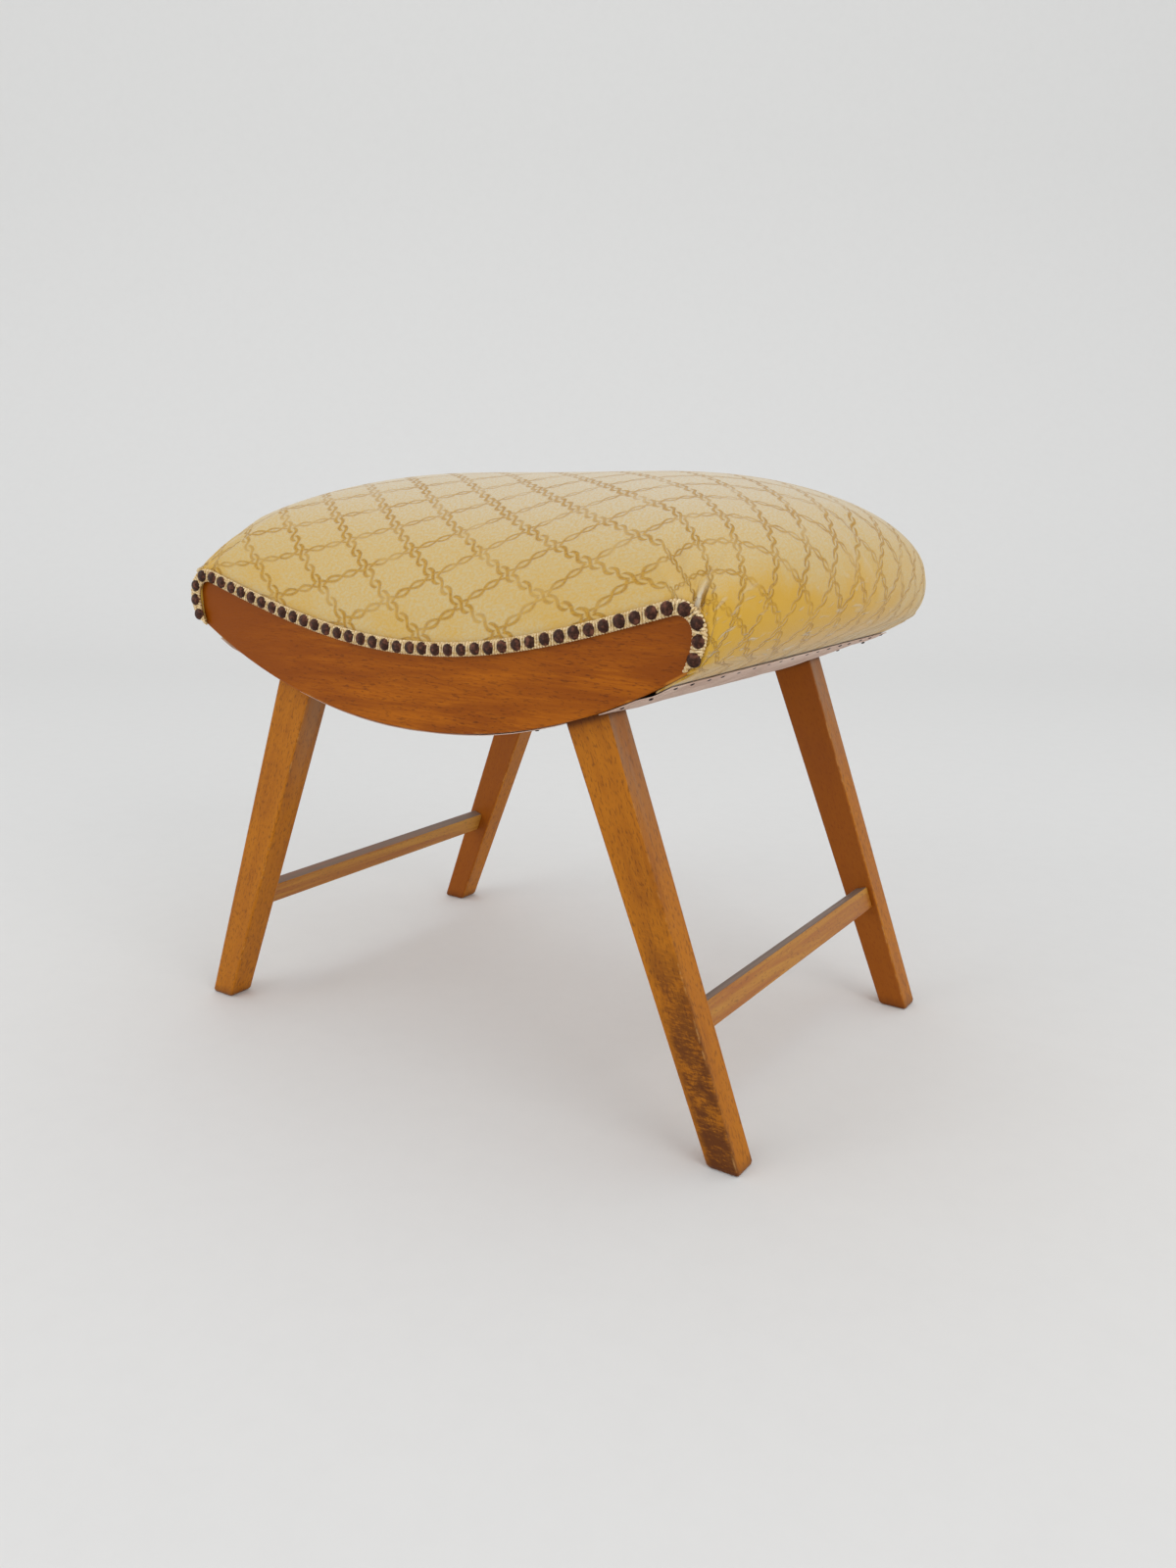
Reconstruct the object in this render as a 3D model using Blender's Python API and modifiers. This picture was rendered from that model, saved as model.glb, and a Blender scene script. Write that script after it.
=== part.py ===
"""Vanity stool with a saddle-shaped seat, modelled piece by piece in metres, with +Z up.

The origin is on the floor, under the middle of the seat. X runs along the seat, from the left end to the
right end, and Y runs from the front board to the back board. Two crescent boards carry the seat. Rails join
them at the ends and beside the legs, webbing spans between their upper edges, and a stuffed pad under velvet
makes the crown. Each leg laps on the inner face of a board and is held there by two screws. A stretcher joins
the front and the back leg on each side.
"""

import math

import bmesh
import bpy
from mathutils import Matrix, Vector

# Gaps between pieces that touch
GAP = 0.0003
CUT_OVERRUN = 0.002
WELD_GAP = 0.00003

# Seat boards, whose face shows as a crescent of wood
SEAT_DEPTH = 0.3722
WOOD_LENGTH = 0.439
WOOD_BOTTOM_Z = 0.2685
WOOD_MIDDLE_HEIGHT = 0.0536
BOTTOM_RADIUS = 0.42
TOP_WAVE_LENGTH = 0.818
TOP_WAVE_RISE = 0.0784
WOOD_CORNER_RADIUS = 0.010
BOARD_THICKNESS = 0.0145
BOARD_LIP = 0.0075
BOARD_ARRIS = 0.0012

# Legs, which lean out sideways and taper to the floor
FOOT_OUTER_X = 0.2573
FOOT_WIDTH = 0.0233
LEG_OUTER_LEAN = math.radians(19.8)
LEG_INNER_LEAN = math.radians(22.1)
LEG_THICKNESS = 0.0226
LEG_TOP_RISE = 0.0159
LEG_ARRIS = 0.0015
FOOT_ARRIS = 0.003

# Stretchers between the front and the back leg of each side
STRETCHER_Z = 0.0933
STRETCHER_WIDTH = 0.0105
STRETCHER_HEIGHT = 0.0183
STRETCHER_INSET = 0.0045
STRETCHER_SHOULDER = 0.002
STRETCHER_TENON_LENGTH = 0.012
STRETCHER_ARRIS = 0.001

# Screws that hold each leg to its board
SCREW_DIAMETER = 0.0035
SCREW_HEAD_DIAMETER = 0.007
SCREW_HEAD_DEPTH = 0.002
SCREW_LENGTH = 0.0315
SCREW_LOWER_RISE = 0.0395
SCREW_SPACING = 0.018

# Rails inside the seat
END_RAIL_THICKNESS = 0.020
END_TENON_THICKNESS = 0.009
END_TENON_HEIGHT = 0.020
END_TENON_LENGTH = 0.008
LEG_RAIL_THICKNESS = 0.016
LEG_RAIL_HEIGHT = 0.030
LEG_RAIL_RISE = 0.0465
BLOCK_SIDE = 0.028
BLOCK_HEIGHT = 0.022
BLOCK_RISE = 0.007

# Webbing and hessian that carry the stuffing
STRAP_COUNT = 7
STRAP_WIDTH = 0.045
STRAP_SPACING = 0.057
STRAP_THICKNESS = 0.0015
STRAP_EDGE_MARGIN = 0.003
HESSIAN_THICKNESS = 0.0008

# Velvet cover and its crown
VELVET_THICKNESS = 0.0012
VELVET_FOLD_REACH = 0.0055
VELVET_SKIRT_MARGIN = 0.001
CROWN_RISE = 0.1219
CROWN_END_BULGE = 0.0195
CROWN_END_REACH = 0.0915
CROWN_HUMP_X = 0.0926
CROWN_HUMP_RISE = 0.0013
CROWN_END_DROP = 0.0357
CROWN_TURN_BULGE = 0.011
FOLD_HEIGHT_SHARE = 0.6
FOLD_INWARD_SHARE = 0.22

# Gimp braid and the row of domed nails along it
GIMP_WIDTH = 0.0105
GIMP_THICKNESS = 0.0016
NAIL_DIAMETER = 0.0083
NAIL_RISE = 0.0027
NAIL_SINK = 0.0008
NAIL_PITCH = 0.0114

# Dust cloth under the seat
CLOTH_THICKNESS = 0.0008
CLOTH_MARGIN = 0.004
CLOTH_END_REACH = 0.0005
CLOTH_LAP_GAP = 0.001
CLOTH_LAP_RAMP = 0.004
CLOTH_NOTCH_GAP = 0.0006

# Facets, and the turns at which an edge counts as flat or as sharp
FLAT_ANGLE = math.radians(0.1)
SHARP_ANGLE = math.radians(35)
TOP_STEPS = 10
END_STEPS = 5
FOLD_STEPS = 3
CROWN_STEPS = 12
ARC_STEPS = 16
STRAP_STEPS = 4
ROUND_SIDES = 12
NAIL_SIDES = 8
NAIL_RINGS = 4

# Places that follow from the sizes above
BOARD_FACE_Y = SEAT_DEPTH / 2
BOARD_INNER_Y = BOARD_FACE_Y - BOARD_THICKNESS
BOARD_END_X = WOOD_LENGTH / 2 + BOARD_LIP
WOOD_TOP_Z = WOOD_BOTTOM_Z + WOOD_MIDDLE_HEIGHT
LEG_TOP_Z = WOOD_TOP_Z + LEG_TOP_RISE
LEG_OUTER_Y = BOARD_INNER_Y - GAP
LEG_INNER_Y = LEG_OUTER_Y - LEG_THICKNESS
VELVET_FACE_Y = BOARD_FACE_Y + GAP + VELVET_THICKNESS
GIMP_BACK_Y = VELVET_FACE_Y + GAP
GIMP_FACE_Y = GIMP_BACK_Y + GIMP_THICKNESS
VELVET_TURN_X = BOARD_END_X + GAP + VELVET_THICKNESS
VELVET_FOLD_X = BOARD_END_X - VELVET_FOLD_REACH
CROWN_END_X = WOOD_LENGTH / 2 + GIMP_WIDTH + CROWN_END_BULGE
CROWN_END_START_X = CROWN_END_X - CROWN_END_REACH
STRAP_OFFSET = BOARD_LIP + GAP
HESSIAN_OFFSET = STRAP_OFFSET + STRAP_THICKNESS + GAP
PAD_OFFSET = HESSIAN_OFFSET + HESSIAN_THICKNESS + GAP
SIDES = {"left": -1, "right": 1}
FACES = {"front": -1, "back": 1}

# The scene is emptied, and the parts and the cutters get a collection each
for old in list(bpy.data.objects):
    bpy.data.objects.remove(old, do_unlink=True)
parts = bpy.data.collections.new("vanity_stool")
cutters = bpy.data.collections.new("cutters")
bpy.context.scene.collection.children.link(parts)
bpy.context.scene.collection.children.link(cutters)
stool = bpy.data.objects.new("stool_origin", None)
parts.objects.link(stool)


def material(name, colour, roughness, metallic=0.0):
    made = bpy.data.materials.new(name)
    made.use_nodes = True
    shader = made.node_tree.nodes["Principled BSDF"]
    shader.inputs["Base Color"].default_value = (*colour, 1.0)
    shader.inputs["Roughness"].default_value = roughness
    shader.inputs["Metallic"].default_value = metallic
    return made


SHOW_WOOD = material("show_wood", (0.34, 0.13, 0.03), 0.38)
LEG_WOOD = material("leg_wood", (0.42, 0.19, 0.05), 0.40)
FRAME_WOOD = material("frame_wood", (0.55, 0.38, 0.20), 0.65)
SCREW_STEEL = material("screw_steel", (0.55, 0.54, 0.52), 0.35, 1.0)
JUTE = material("jute_webbing", (0.45, 0.33, 0.18), 0.90)
HESSIAN = material("hessian", (0.50, 0.38, 0.22), 0.92)
STUFFING = material("stuffing", (0.70, 0.64, 0.50), 0.95)
VELVET = material("velvet", (0.62, 0.48, 0.22), 0.80)
GIMP = material("gimp_and_nails", (0.30, 0.20, 0.10), 0.60)
DUST_CLOTH = material("dust_cloth", (0.62, 0.50, 0.45), 0.90)


def add_part(name, mesh, finish, matrix=Matrix()):
    """Adds a finished mesh to the stool as a named part."""
    mesh.name = name
    mesh.materials.clear()
    mesh.materials.append(finish)
    part = bpy.data.objects.new(name, mesh)
    parts.objects.link(part)
    part.parent = stool
    part.matrix_world = matrix
    return part


def add_cutter(name, mesh, matrix=Matrix()):
    """Adds a mesh that only cuts other pieces."""
    mesh.name = name
    cutter = bpy.data.objects.new(name, mesh)
    cutters.objects.link(cutter)
    cutter.matrix_world = matrix
    cutter.hide_render = True
    cutter.display_type = "WIRE"
    return cutter


def boolean(part, tool, operation="DIFFERENCE"):
    modifier = part.modifiers.new(tool.name, "BOOLEAN")
    modifier.operation = operation
    modifier.solver = "EXACT"
    modifier.object = tool


def bevel(part, width, segments=2):
    modifier = part.modifiers.new("arris", "BEVEL")
    modifier.width = width
    modifier.segments = segments
    modifier.limit_method = "ANGLE"
    modifier.angle_limit = SHARP_ANGLE


def outline_slab(points, low_y, high_y):
    """Returns the mesh and the placing matrix of a flat outline in the XZ plane, given thickness along Y."""
    curve = bpy.data.curves.new("outline", "CURVE")
    curve.dimensions = "2D"
    curve.fill_mode = "BOTH"
    curve.extrude = (high_y - low_y) / 2
    spline = curve.splines.new("POLY")
    spline.points.add(len(points) - 1)
    for target, (x, z) in zip(spline.points, points):
        target.co = (x, z, 0, 1)
    spline.use_cyclic_u = True
    guide = bpy.data.objects.new("outline", curve)
    bpy.context.scene.collection.objects.link(guide)
    guide.rotation_euler.x = math.pi / 2
    guide.location.y = (low_y + high_y) / 2
    bpy.context.view_layer.update()
    seen = guide.evaluated_get(bpy.context.evaluated_depsgraph_get())
    mesh = bpy.data.meshes.new_from_object(seen)
    matrix = guide.matrix_world.copy()
    bpy.data.objects.remove(guide, do_unlink=True)
    bpy.data.curves.remove(curve)
    welded = bmesh.new()
    welded.from_mesh(mesh)
    bmesh.ops.remove_doubles(welded, verts=welded.verts, dist=WELD_GAP)
    bmesh.ops.dissolve_limit(welded, angle_limit=FLAT_ANGLE, verts=welded.verts, edges=welded.edges)
    bmesh.ops.recalc_face_normals(welded, faces=welded.faces)
    welded.to_mesh(mesh)
    welded.free()
    return mesh, matrix


def box_mesh(size):
    """Returns a box of the given size, centred on its own origin."""
    mesh = bpy.data.meshes.new("box")
    made = bmesh.new()
    bmesh.ops.create_cube(made, size=1.0, matrix=Matrix.Diagonal((*size, 1)))
    made.to_mesh(mesh)
    made.free()
    return mesh


def shade_round(mesh):
    mesh.shade_smooth()
    mesh.set_sharp_from_angle(angle=SHARP_ANGLE)


def bottom_z(x, drop=0.0):
    """Height of the boards' lower edge at x, or of a line lying the given drop below it."""
    radius = BOTTOM_RADIUS + drop
    return WOOD_BOTTOM_Z + BOTTOM_RADIUS - math.sqrt(radius**2 - x**2)


def wave_z(x):
    """Height of the upper edge of the wood that shows."""
    return WOOD_TOP_Z + TOP_WAVE_RISE / 2 * (1 - math.cos(2 * math.pi * x / TOP_WAVE_LENGTH))


def wave_angle(x):
    slope = TOP_WAVE_RISE * math.pi / TOP_WAVE_LENGTH * math.sin(2 * math.pi * x / TOP_WAVE_LENGTH)
    return math.atan(slope)


def corner_centre():
    """Centre of the rounded upper corner, which touches the wave and the upright end, and its touch angle."""
    centre_x = WOOD_LENGTH / 2 - WOOD_CORNER_RADIUS
    touch_x = centre_x
    for _ in range(20):
        touch_x = centre_x - WOOD_CORNER_RADIUS * math.sin(wave_angle(touch_x))
    angle = wave_angle(touch_x)
    return centre_x, wave_z(touch_x) - WOOD_CORNER_RADIUS * math.cos(angle), math.pi / 2 + angle, touch_x


CORNER_X, CORNER_Z, CORNER_ANGLE, CORNER_TOUCH_X = corner_centre()


def edge_half(offset):
    """Right half of the crescent's edge moved outwards by the offset, from the top's middle to the end."""
    points = []
    for step in range(TOP_STEPS):
        x = CORNER_TOUCH_X * step / TOP_STEPS
        angle = wave_angle(x)
        points.append((x - offset * math.sin(angle), wave_z(x) + offset * math.cos(angle)))
    radius = WOOD_CORNER_RADIUS + offset
    for step in range(END_STEPS + 1):
        angle = CORNER_ANGLE * (1 - step / END_STEPS)
        points.append((CORNER_X + radius * math.cos(angle), CORNER_Z + radius * math.sin(angle)))
    return points


def crown_half(inset):
    """Right half of the seat's ridge line at mid depth, with as many points as edge_half."""

    def ridge_z(x):
        share = (x / CROWN_HUMP_X) ** 2
        return WOOD_TOP_Z + CROWN_RISE - inset + CROWN_HUMP_RISE * (2 * share - share**2)

    places = [CROWN_END_START_X * step / TOP_STEPS for step in range(TOP_STEPS)]
    points = [(x, ridge_z(x)) for x in places]
    start_z = ridge_z(CROWN_END_START_X)
    share = (CROWN_END_START_X / CROWN_HUMP_X) ** 2
    slope = 4 * CROWN_HUMP_RISE / CROWN_END_START_X * (share - share**2)
    reach = CROWN_END_X - inset - CROWN_END_START_X
    for step in range(END_STEPS + 1):
        angle = math.pi / 2 * step / END_STEPS
        x = CROWN_END_START_X + reach * math.sin(angle)
        points.append((x, start_z + slope * reach * math.sin(angle) - CROWN_END_DROP * (1 - math.cos(angle))))
    return points


def with_foot(half, drop=0.0):
    """Carries a half line straight down from the end to the boards' lower edge, or to a line below it."""
    end_x, end_z = half[-1]
    foot_z = bottom_z(end_x, drop)
    return half + [(end_x, end_z + (foot_z - end_z) * step / FOLD_STEPS) for step in range(1, FOLD_STEPS + 1)]


def with_fold(half, turn_x, fold_x, drop):
    """Carries a half line down from the end, round a turn and in under the boards, the drop below them."""
    end_x, end_z = half[-1]
    turn_z = bottom_z(turn_x, drop)
    side_x = end_x - (end_x - turn_x) * FOLD_INWARD_SHARE
    side_z = end_z - (end_z - turn_z) * FOLD_HEIGHT_SHARE
    return half + [(side_x, side_z), (turn_x, turn_z), (fold_x, bottom_z(fold_x, drop))]


def both_halves(half):
    """Mirrors a right half, so that the line runs from the left fold to the right fold."""
    return [(-x, z) for x, z in reversed(half[1:])] + half


def crown_lines(inset):
    """Lines of the velvet's surface, or of one lying the inset inside it, from the front face to the back.

    Each line runs from the left fold to the right fold. An ellipse across the depth leads from the boards'
    faces up to the ridge.
    """
    drop = GAP + VELVET_THICKNESS - inset
    turn_x = VELVET_TURN_X - inset
    edge = both_halves(with_fold(edge_half(GIMP_WIDTH - inset), turn_x, VELVET_FOLD_X, drop))
    ridge = both_halves(with_fold(crown_half(inset), turn_x + CROWN_TURN_BULGE, VELVET_FOLD_X, drop))
    lines = []
    for step in range(CROWN_STEPS + 1):
        angle = math.pi * step / CROWN_STEPS
        y = -(VELVET_FACE_Y - inset) * math.cos(angle)
        rise = math.sin(angle)
        line = []
        for (low_x, low_z), (high_x, high_z) in zip(edge, ridge):
            line.append(Vector((low_x + (high_x - low_x) * rise, y, low_z + (high_z - low_z) * rise)))
        lines.append(line)
    return lines


def bridged(mesh_maker, lines):
    """Adds a grid of faces over the lines, and returns its rows of vertices."""
    rows = [[mesh_maker.verts.new(point) for point in line] for line in lines]
    for low, high in zip(rows, rows[1:]):
        for k in range(len(low) - 1):
            mesh_maker.faces.new((low[k], low[k + 1], high[k + 1], high[k]))
    return rows


def finished(mesh_maker, name):
    """Turns the faces outwards and returns the mesh."""
    bmesh.ops.recalc_face_normals(mesh_maker, faces=mesh_maker.faces)
    mesh = bpy.data.meshes.new(name)
    mesh_maker.to_mesh(mesh)
    mesh_maker.free()
    return mesh


def board_outline():
    """Full outline of a seat board: the hidden lip above the wood that shows, and the lower arc."""
    top = both_halves(with_foot(edge_half(BOARD_LIP)))
    arc = [BOARD_END_X * (1 - step / ARC_STEPS) for step in range(1, 2 * ARC_STEPS)]
    return top + [(x, bottom_z(x)) for x in arc]


def make_boards():
    for face, sign in FACES.items():
        low_y, high_y = sorted((sign * BOARD_INNER_Y, sign * BOARD_FACE_Y))
        mesh, matrix = outline_slab(board_outline(), low_y, high_y)
        board = add_part(face + "_board", mesh, SHOW_WOOD, matrix)
        bevel(board, BOARD_ARRIS)


def leg_x(z, lean, floor_x):
    return floor_x - z * math.tan(lean)


def leg_outer_x(z):
    return leg_x(z, LEG_OUTER_LEAN, FOOT_OUTER_X)


def leg_inner_x(z):
    return leg_x(z, LEG_INNER_LEAN, FOOT_OUTER_X - FOOT_WIDTH)


def leg_middle_x(z):
    return (leg_outer_x(z) + leg_inner_x(z)) / 2


def ease_leg(mesh):
    """Marks the leg's long edges for a light bevel and the foot's edges for a rounder one."""
    marked = bmesh.new()
    marked.from_mesh(mesh)
    weight = marked.edges.layers.float.new("bevel_weight_edge")
    for edge in marked.edges:
        if edge.calc_face_angle() > SHARP_ANGLE:
            at_foot = all(vert.co.y < GAP for vert in edge.verts)
            edge[weight] = 1.0 if at_foot else LEG_ARRIS / FOOT_ARRIS
    marked.to_mesh(mesh)
    marked.free()


def make_legs():
    for face, depth_sign in FACES.items():
        for side, sign in SIDES.items():
            outline = [(sign * leg_outer_x(0), 0), (sign * leg_outer_x(LEG_TOP_Z), LEG_TOP_Z)]
            outline += [(sign * leg_inner_x(LEG_TOP_Z), LEG_TOP_Z), (sign * leg_inner_x(0), 0)]
            low_y, high_y = sorted((depth_sign * LEG_INNER_Y, depth_sign * LEG_OUTER_Y))
            mesh, matrix = outline_slab(outline, low_y, high_y)
            ease_leg(mesh)
            leg = add_part(face + "_" + side + "_leg", mesh, LEG_WOOD, matrix)
            easing = leg.modifiers.new("arris", "BEVEL")
            easing.limit_method = "WEIGHT"
            easing.width = FOOT_ARRIS
            easing.segments = 2


def screw_profile(grow=0.0):
    """Half outline of a countersunk screw, from its head to its tip, grown all round to cut its hole."""
    head = SCREW_HEAD_DIAMETER / 2 + grow
    shank = SCREW_DIAMETER / 2 + grow
    tip_z = -SCREW_LENGTH - grow
    return [(0, grow), (head, grow), (shank, -SCREW_HEAD_DEPTH), (shank, tip_z + SCREW_DIAMETER), (0, tip_z)]


def turned_mesh(profile, sides):
    """Spins a half outline, given from the top down, round the upright axis."""
    made = bmesh.new()
    verts = [made.verts.new((x, 0, z)) for x, z in profile]
    edges = [made.edges.new(pair) for pair in zip(verts, verts[1:])]
    bmesh.ops.spin(
        made, geom=verts + edges, cent=(0, 0, 0), axis=(0, 0, 1), angle=2 * math.pi, steps=sides,
        use_merge=True,
    )
    bmesh.ops.remove_doubles(made, verts=made.verts, dist=WELD_GAP)
    return finished(made, "turned")


def make_screws():
    """Two screws a leg, driven from inside through the leg and into the board."""
    for face, depth_sign in FACES.items():
        board = bpy.data.objects[face + "_board"]
        turn = Matrix.Rotation(depth_sign * math.pi / 2, 4, "X")
        for side, sign in SIDES.items():
            leg = bpy.data.objects[face + "_" + side + "_leg"]
            for level, rank in (("lower", 0), ("upper", 1)):
                z = WOOD_BOTTOM_Z + SCREW_LOWER_RISE + rank * SCREW_SPACING
                head_y = depth_sign * (LEG_INNER_Y + GAP)
                place = Matrix.Translation((sign * leg_middle_x(z), head_y, z)) @ turn
                name = face + "_" + side + "_leg_screw_" + level
                screw_mesh = turned_mesh(screw_profile(), ROUND_SIDES)
                shade_round(screw_mesh)
                add_part(name, screw_mesh, SCREW_STEEL, place)
                hole = screw_profile(GAP)
                hole = [(0, CUT_OVERRUN), (hole[1][0], CUT_OVERRUN)] + hole[1:]
                tool = add_cutter("cut_" + name, turned_mesh(hole, ROUND_SIDES), place)
                boolean(leg, tool)
                boolean(board, tool)


def make_stretchers():
    """A flat slat between the legs of each side, parallel to their outer face, with a tenon at each end."""
    tilt = LEG_OUTER_LEAN
    for side, sign in SIDES.items():
        made = bmesh.new()
        length = 2 * (LEG_INNER_Y - GAP)
        size = (STRETCHER_WIDTH, length, STRETCHER_HEIGHT)
        bmesh.ops.create_cube(made, size=1.0, matrix=Matrix.Diagonal((*size, 1)))
        long_edges = [e for e in made.edges if abs(e.verts[0].co.y - e.verts[1].co.y) > length / 2]
        bmesh.ops.bevel(
            made, geom=long_edges, offset=STRETCHER_ARRIS, offset_type="OFFSET", segments=2, profile=0.5,
            affect="EDGES", material=-1,
        )
        mesh = finished(made, "stretcher")
        shade_round(mesh)
        centre_x = leg_outer_x(STRETCHER_Z) - (STRETCHER_INSET + STRETCHER_WIDTH / 2) / math.cos(tilt)
        place = Matrix.Translation((sign * centre_x, 0, STRETCHER_Z)) @ Matrix.Rotation(-sign * tilt, 4, "Y")
        slat = add_part(side + "_stretcher", mesh, LEG_WOOD, place)
        tenon_size = [
            STRETCHER_WIDTH - 2 * STRETCHER_SHOULDER,
            2 * (LEG_INNER_Y + STRETCHER_TENON_LENGTH - GAP),
            STRETCHER_HEIGHT - 2 * STRETCHER_SHOULDER,
        ]
        boolean(slat, add_cutter("tenons_" + side + "_stretcher", box_mesh(tenon_size), place), "UNION")
        mortise_size = [extent + 2 * GAP for extent in tenon_size]
        tool = add_cutter("cut_" + side + "_stretcher", box_mesh(mortise_size), place)
        for face in FACES:
            boolean(bpy.data.objects[face + "_" + side + "_leg"], tool)


def make_end_rails():
    """A rail across each end of the seat, as high as the boards, stub tenoned into both of them."""
    inner_x = BOARD_END_X - END_RAIL_THICKNESS
    half = with_foot(edge_half(BOARD_LIP))
    top = [(x, z) for x, z in half if x > inner_x]
    middle_x = (inner_x + BOARD_END_X) / 2
    low = [(middle_x, bottom_z(middle_x)), (inner_x, bottom_z(inner_x))]
    low.append((inner_x, wave_z(inner_x) + BOARD_LIP))
    middle_z = (bottom_z(middle_x) + wave_z(middle_x) + BOARD_LIP) / 2
    for side, sign in SIDES.items():
        outline = [(sign * x, z) for x, z in top + low]
        mesh, matrix = outline_slab(outline, GAP - BOARD_INNER_Y, BOARD_INNER_Y - GAP)
        rail = add_part(side + "_end_rail", mesh, FRAME_WOOD, matrix)
        reach = 2 * (BOARD_INNER_Y + END_TENON_LENGTH - GAP)
        place = Matrix.Translation((sign * middle_x, 0, middle_z))
        tenon = add_cutter(
            "tenons_" + side + "_end_rail", box_mesh((END_TENON_THICKNESS, reach, END_TENON_HEIGHT)), place
        )
        boolean(rail, tenon, "UNION")
        mortise = box_mesh((END_TENON_THICKNESS + 2 * GAP, reach + 2 * GAP, END_TENON_HEIGHT + 2 * GAP))
        tool = add_cutter("cut_" + side + "_end_rail", mortise, place)
        for face in FACES:
            boolean(bpy.data.objects[face + "_board"], tool)


def make_leg_rails():
    """A rail between the boards beside each pair of legs, leaning with their inner faces."""
    size = (LEG_RAIL_THICKNESS, 2 * (BOARD_INNER_Y - GAP), LEG_RAIL_HEIGHT)
    back_off = GAP + LEG_RAIL_THICKNESS / 2
    touch_z = WOOD_BOTTOM_Z + LEG_RAIL_RISE
    x = leg_inner_x(touch_z) - back_off * math.cos(LEG_INNER_LEAN)
    z = touch_z - back_off * math.sin(LEG_INNER_LEAN)
    for side, sign in SIDES.items():
        place = Matrix.Translation((sign * x, 0, z)) @ Matrix.Rotation(-sign * LEG_INNER_LEAN, 4, "Y")
        add_part(side + "_leg_rail", box_mesh(size), FRAME_WOOD, place)


def make_corner_blocks():
    """A three-cornered glue block in each corner between an end rail and a board."""
    corner_x = BOARD_END_X - END_RAIL_THICKNESS - GAP
    corner_y = BOARD_INNER_Y - GAP
    low_z = bottom_z(corner_x) + BLOCK_RISE
    for face, depth_sign in FACES.items():
        for side, sign in SIDES.items():
            made = bmesh.new()
            base = [
                (sign * corner_x, depth_sign * corner_y, low_z),
                (sign * (corner_x - BLOCK_SIDE), depth_sign * corner_y, low_z),
                (sign * corner_x, depth_sign * (corner_y - BLOCK_SIDE), low_z),
            ]
            floor = made.faces.new([made.verts.new(point) for point in base])
            raised = bmesh.ops.extrude_face_region(made, geom=[floor])["geom"]
            tops = [item for item in raised if isinstance(item, bmesh.types.BMVert)]
            bmesh.ops.translate(made, verts=tops, vec=(0, 0, BLOCK_HEIGHT))
            add_part(face + "_" + side + "_corner_block", finished(made, "block"), FRAME_WOOD)


def wave_line(low_x, high_x, offset, steps):
    """Points along the boards' upper edge moved outwards by the offset, between two places along the seat."""
    points = []
    for step in range(steps + 1):
        x = low_x + (high_x - low_x) * step / steps
        angle = wave_angle(x)
        points.append((x - offset * math.sin(angle), wave_z(x) + offset * math.cos(angle)))
    return points


def wave_sheet(low_x, high_x, offset, thickness, half_depth, steps):
    """A sheet that lies along the boards' upper edges and spans the depth of the seat."""
    low = wave_line(low_x, high_x, offset, steps)
    high = wave_line(low_x, high_x, offset + thickness, steps)
    return outline_slab(low + high[::-1], -half_depth, half_depth)


def make_webbing():
    """Straps from board to board, with a sheet of hessian over them."""
    half_depth = BOARD_FACE_Y - STRAP_EDGE_MARGIN
    for number in range(STRAP_COUNT):
        middle_x = (number - (STRAP_COUNT - 1) / 2) * STRAP_SPACING
        low_x, high_x = middle_x - STRAP_WIDTH / 2, middle_x + STRAP_WIDTH / 2
        mesh, matrix = wave_sheet(low_x, high_x, STRAP_OFFSET, STRAP_THICKNESS, half_depth, STRAP_STEPS)
        add_part("webbing_strap_" + str(number + 1), mesh, JUTE, matrix)
    mesh, matrix = wave_sheet(
        -CORNER_TOUCH_X, CORNER_TOUCH_X, HESSIAN_OFFSET, HESSIAN_THICKNESS, half_depth, 2 * TOP_STEPS
    )
    add_part("hessian_sheet", mesh, HESSIAN, matrix)


def make_pad():
    """The stuffing: a crown between the hessian and the velvet, with a roll down over each end rail."""
    lines = crown_lines(VELVET_THICKNESS + GAP)
    made = bmesh.new()
    rows = bridged(made, lines)
    front, back = rows[0], rows[-1]
    last = len(front) - 1
    for k in range(1, last - 1):
        made.faces.new((front[k + 1], front[k], back[k], back[k + 1]))
    made.faces.new([front[1]] + [row[0] for row in rows] + [back[1]])
    made.faces.new([back[last - 1]] + [row[last] for row in reversed(rows)] + [front[last - 1]])
    mesh = finished(made, "pad")
    shade_round(mesh)
    pad = add_part("seat_pad", mesh, STUFFING)
    clip_x = BOARD_END_X + GAP
    clip_z = CORNER_Z + math.sqrt((WOOD_CORNER_RADIUS + PAD_OFFSET) ** 2 - (clip_x - CORNER_X) ** 2)
    half = [point for point in edge_half(PAD_OFFSET) if point[0] < clip_x]
    half += [(clip_x, clip_z), (clip_x, WOOD_BOTTOM_Z)]
    under, matrix = outline_slab(both_halves(half), -SEAT_DEPTH, SEAT_DEPTH)
    boolean(pad, add_cutter("cut_seat_pad", under, matrix))


def make_cover():
    """Velvet over the pad, with a skirt on each board's face and a fold under each end."""
    lines = crown_lines(0)
    foot = both_halves(with_foot(edge_half(VELVET_SKIRT_MARGIN)))
    skirts = [[Vector((x, sign * VELVET_FACE_Y, z)) for x, z in foot] for sign in (-1, 1)]
    made = bmesh.new()
    bridged(made, [skirts[0]] + lines + [skirts[1]])
    bmesh.ops.recalc_face_normals(made, faces=made.faces)
    crown = max(made.faces, key=lambda face: face.calc_center_median().z)
    if crown.normal.z < 0:
        bmesh.ops.reverse_faces(made, faces=made.faces)
    mesh = bpy.data.meshes.new("cover")
    made.to_mesh(mesh)
    made.free()
    shade_round(mesh)
    cover = add_part("velvet_cover", mesh, VELVET)
    shell = cover.modifiers.new("velvet", "SOLIDIFY")
    shell.thickness = VELVET_THICKNESS
    shell.offset = -1
    shell.use_even_offset = True


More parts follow.
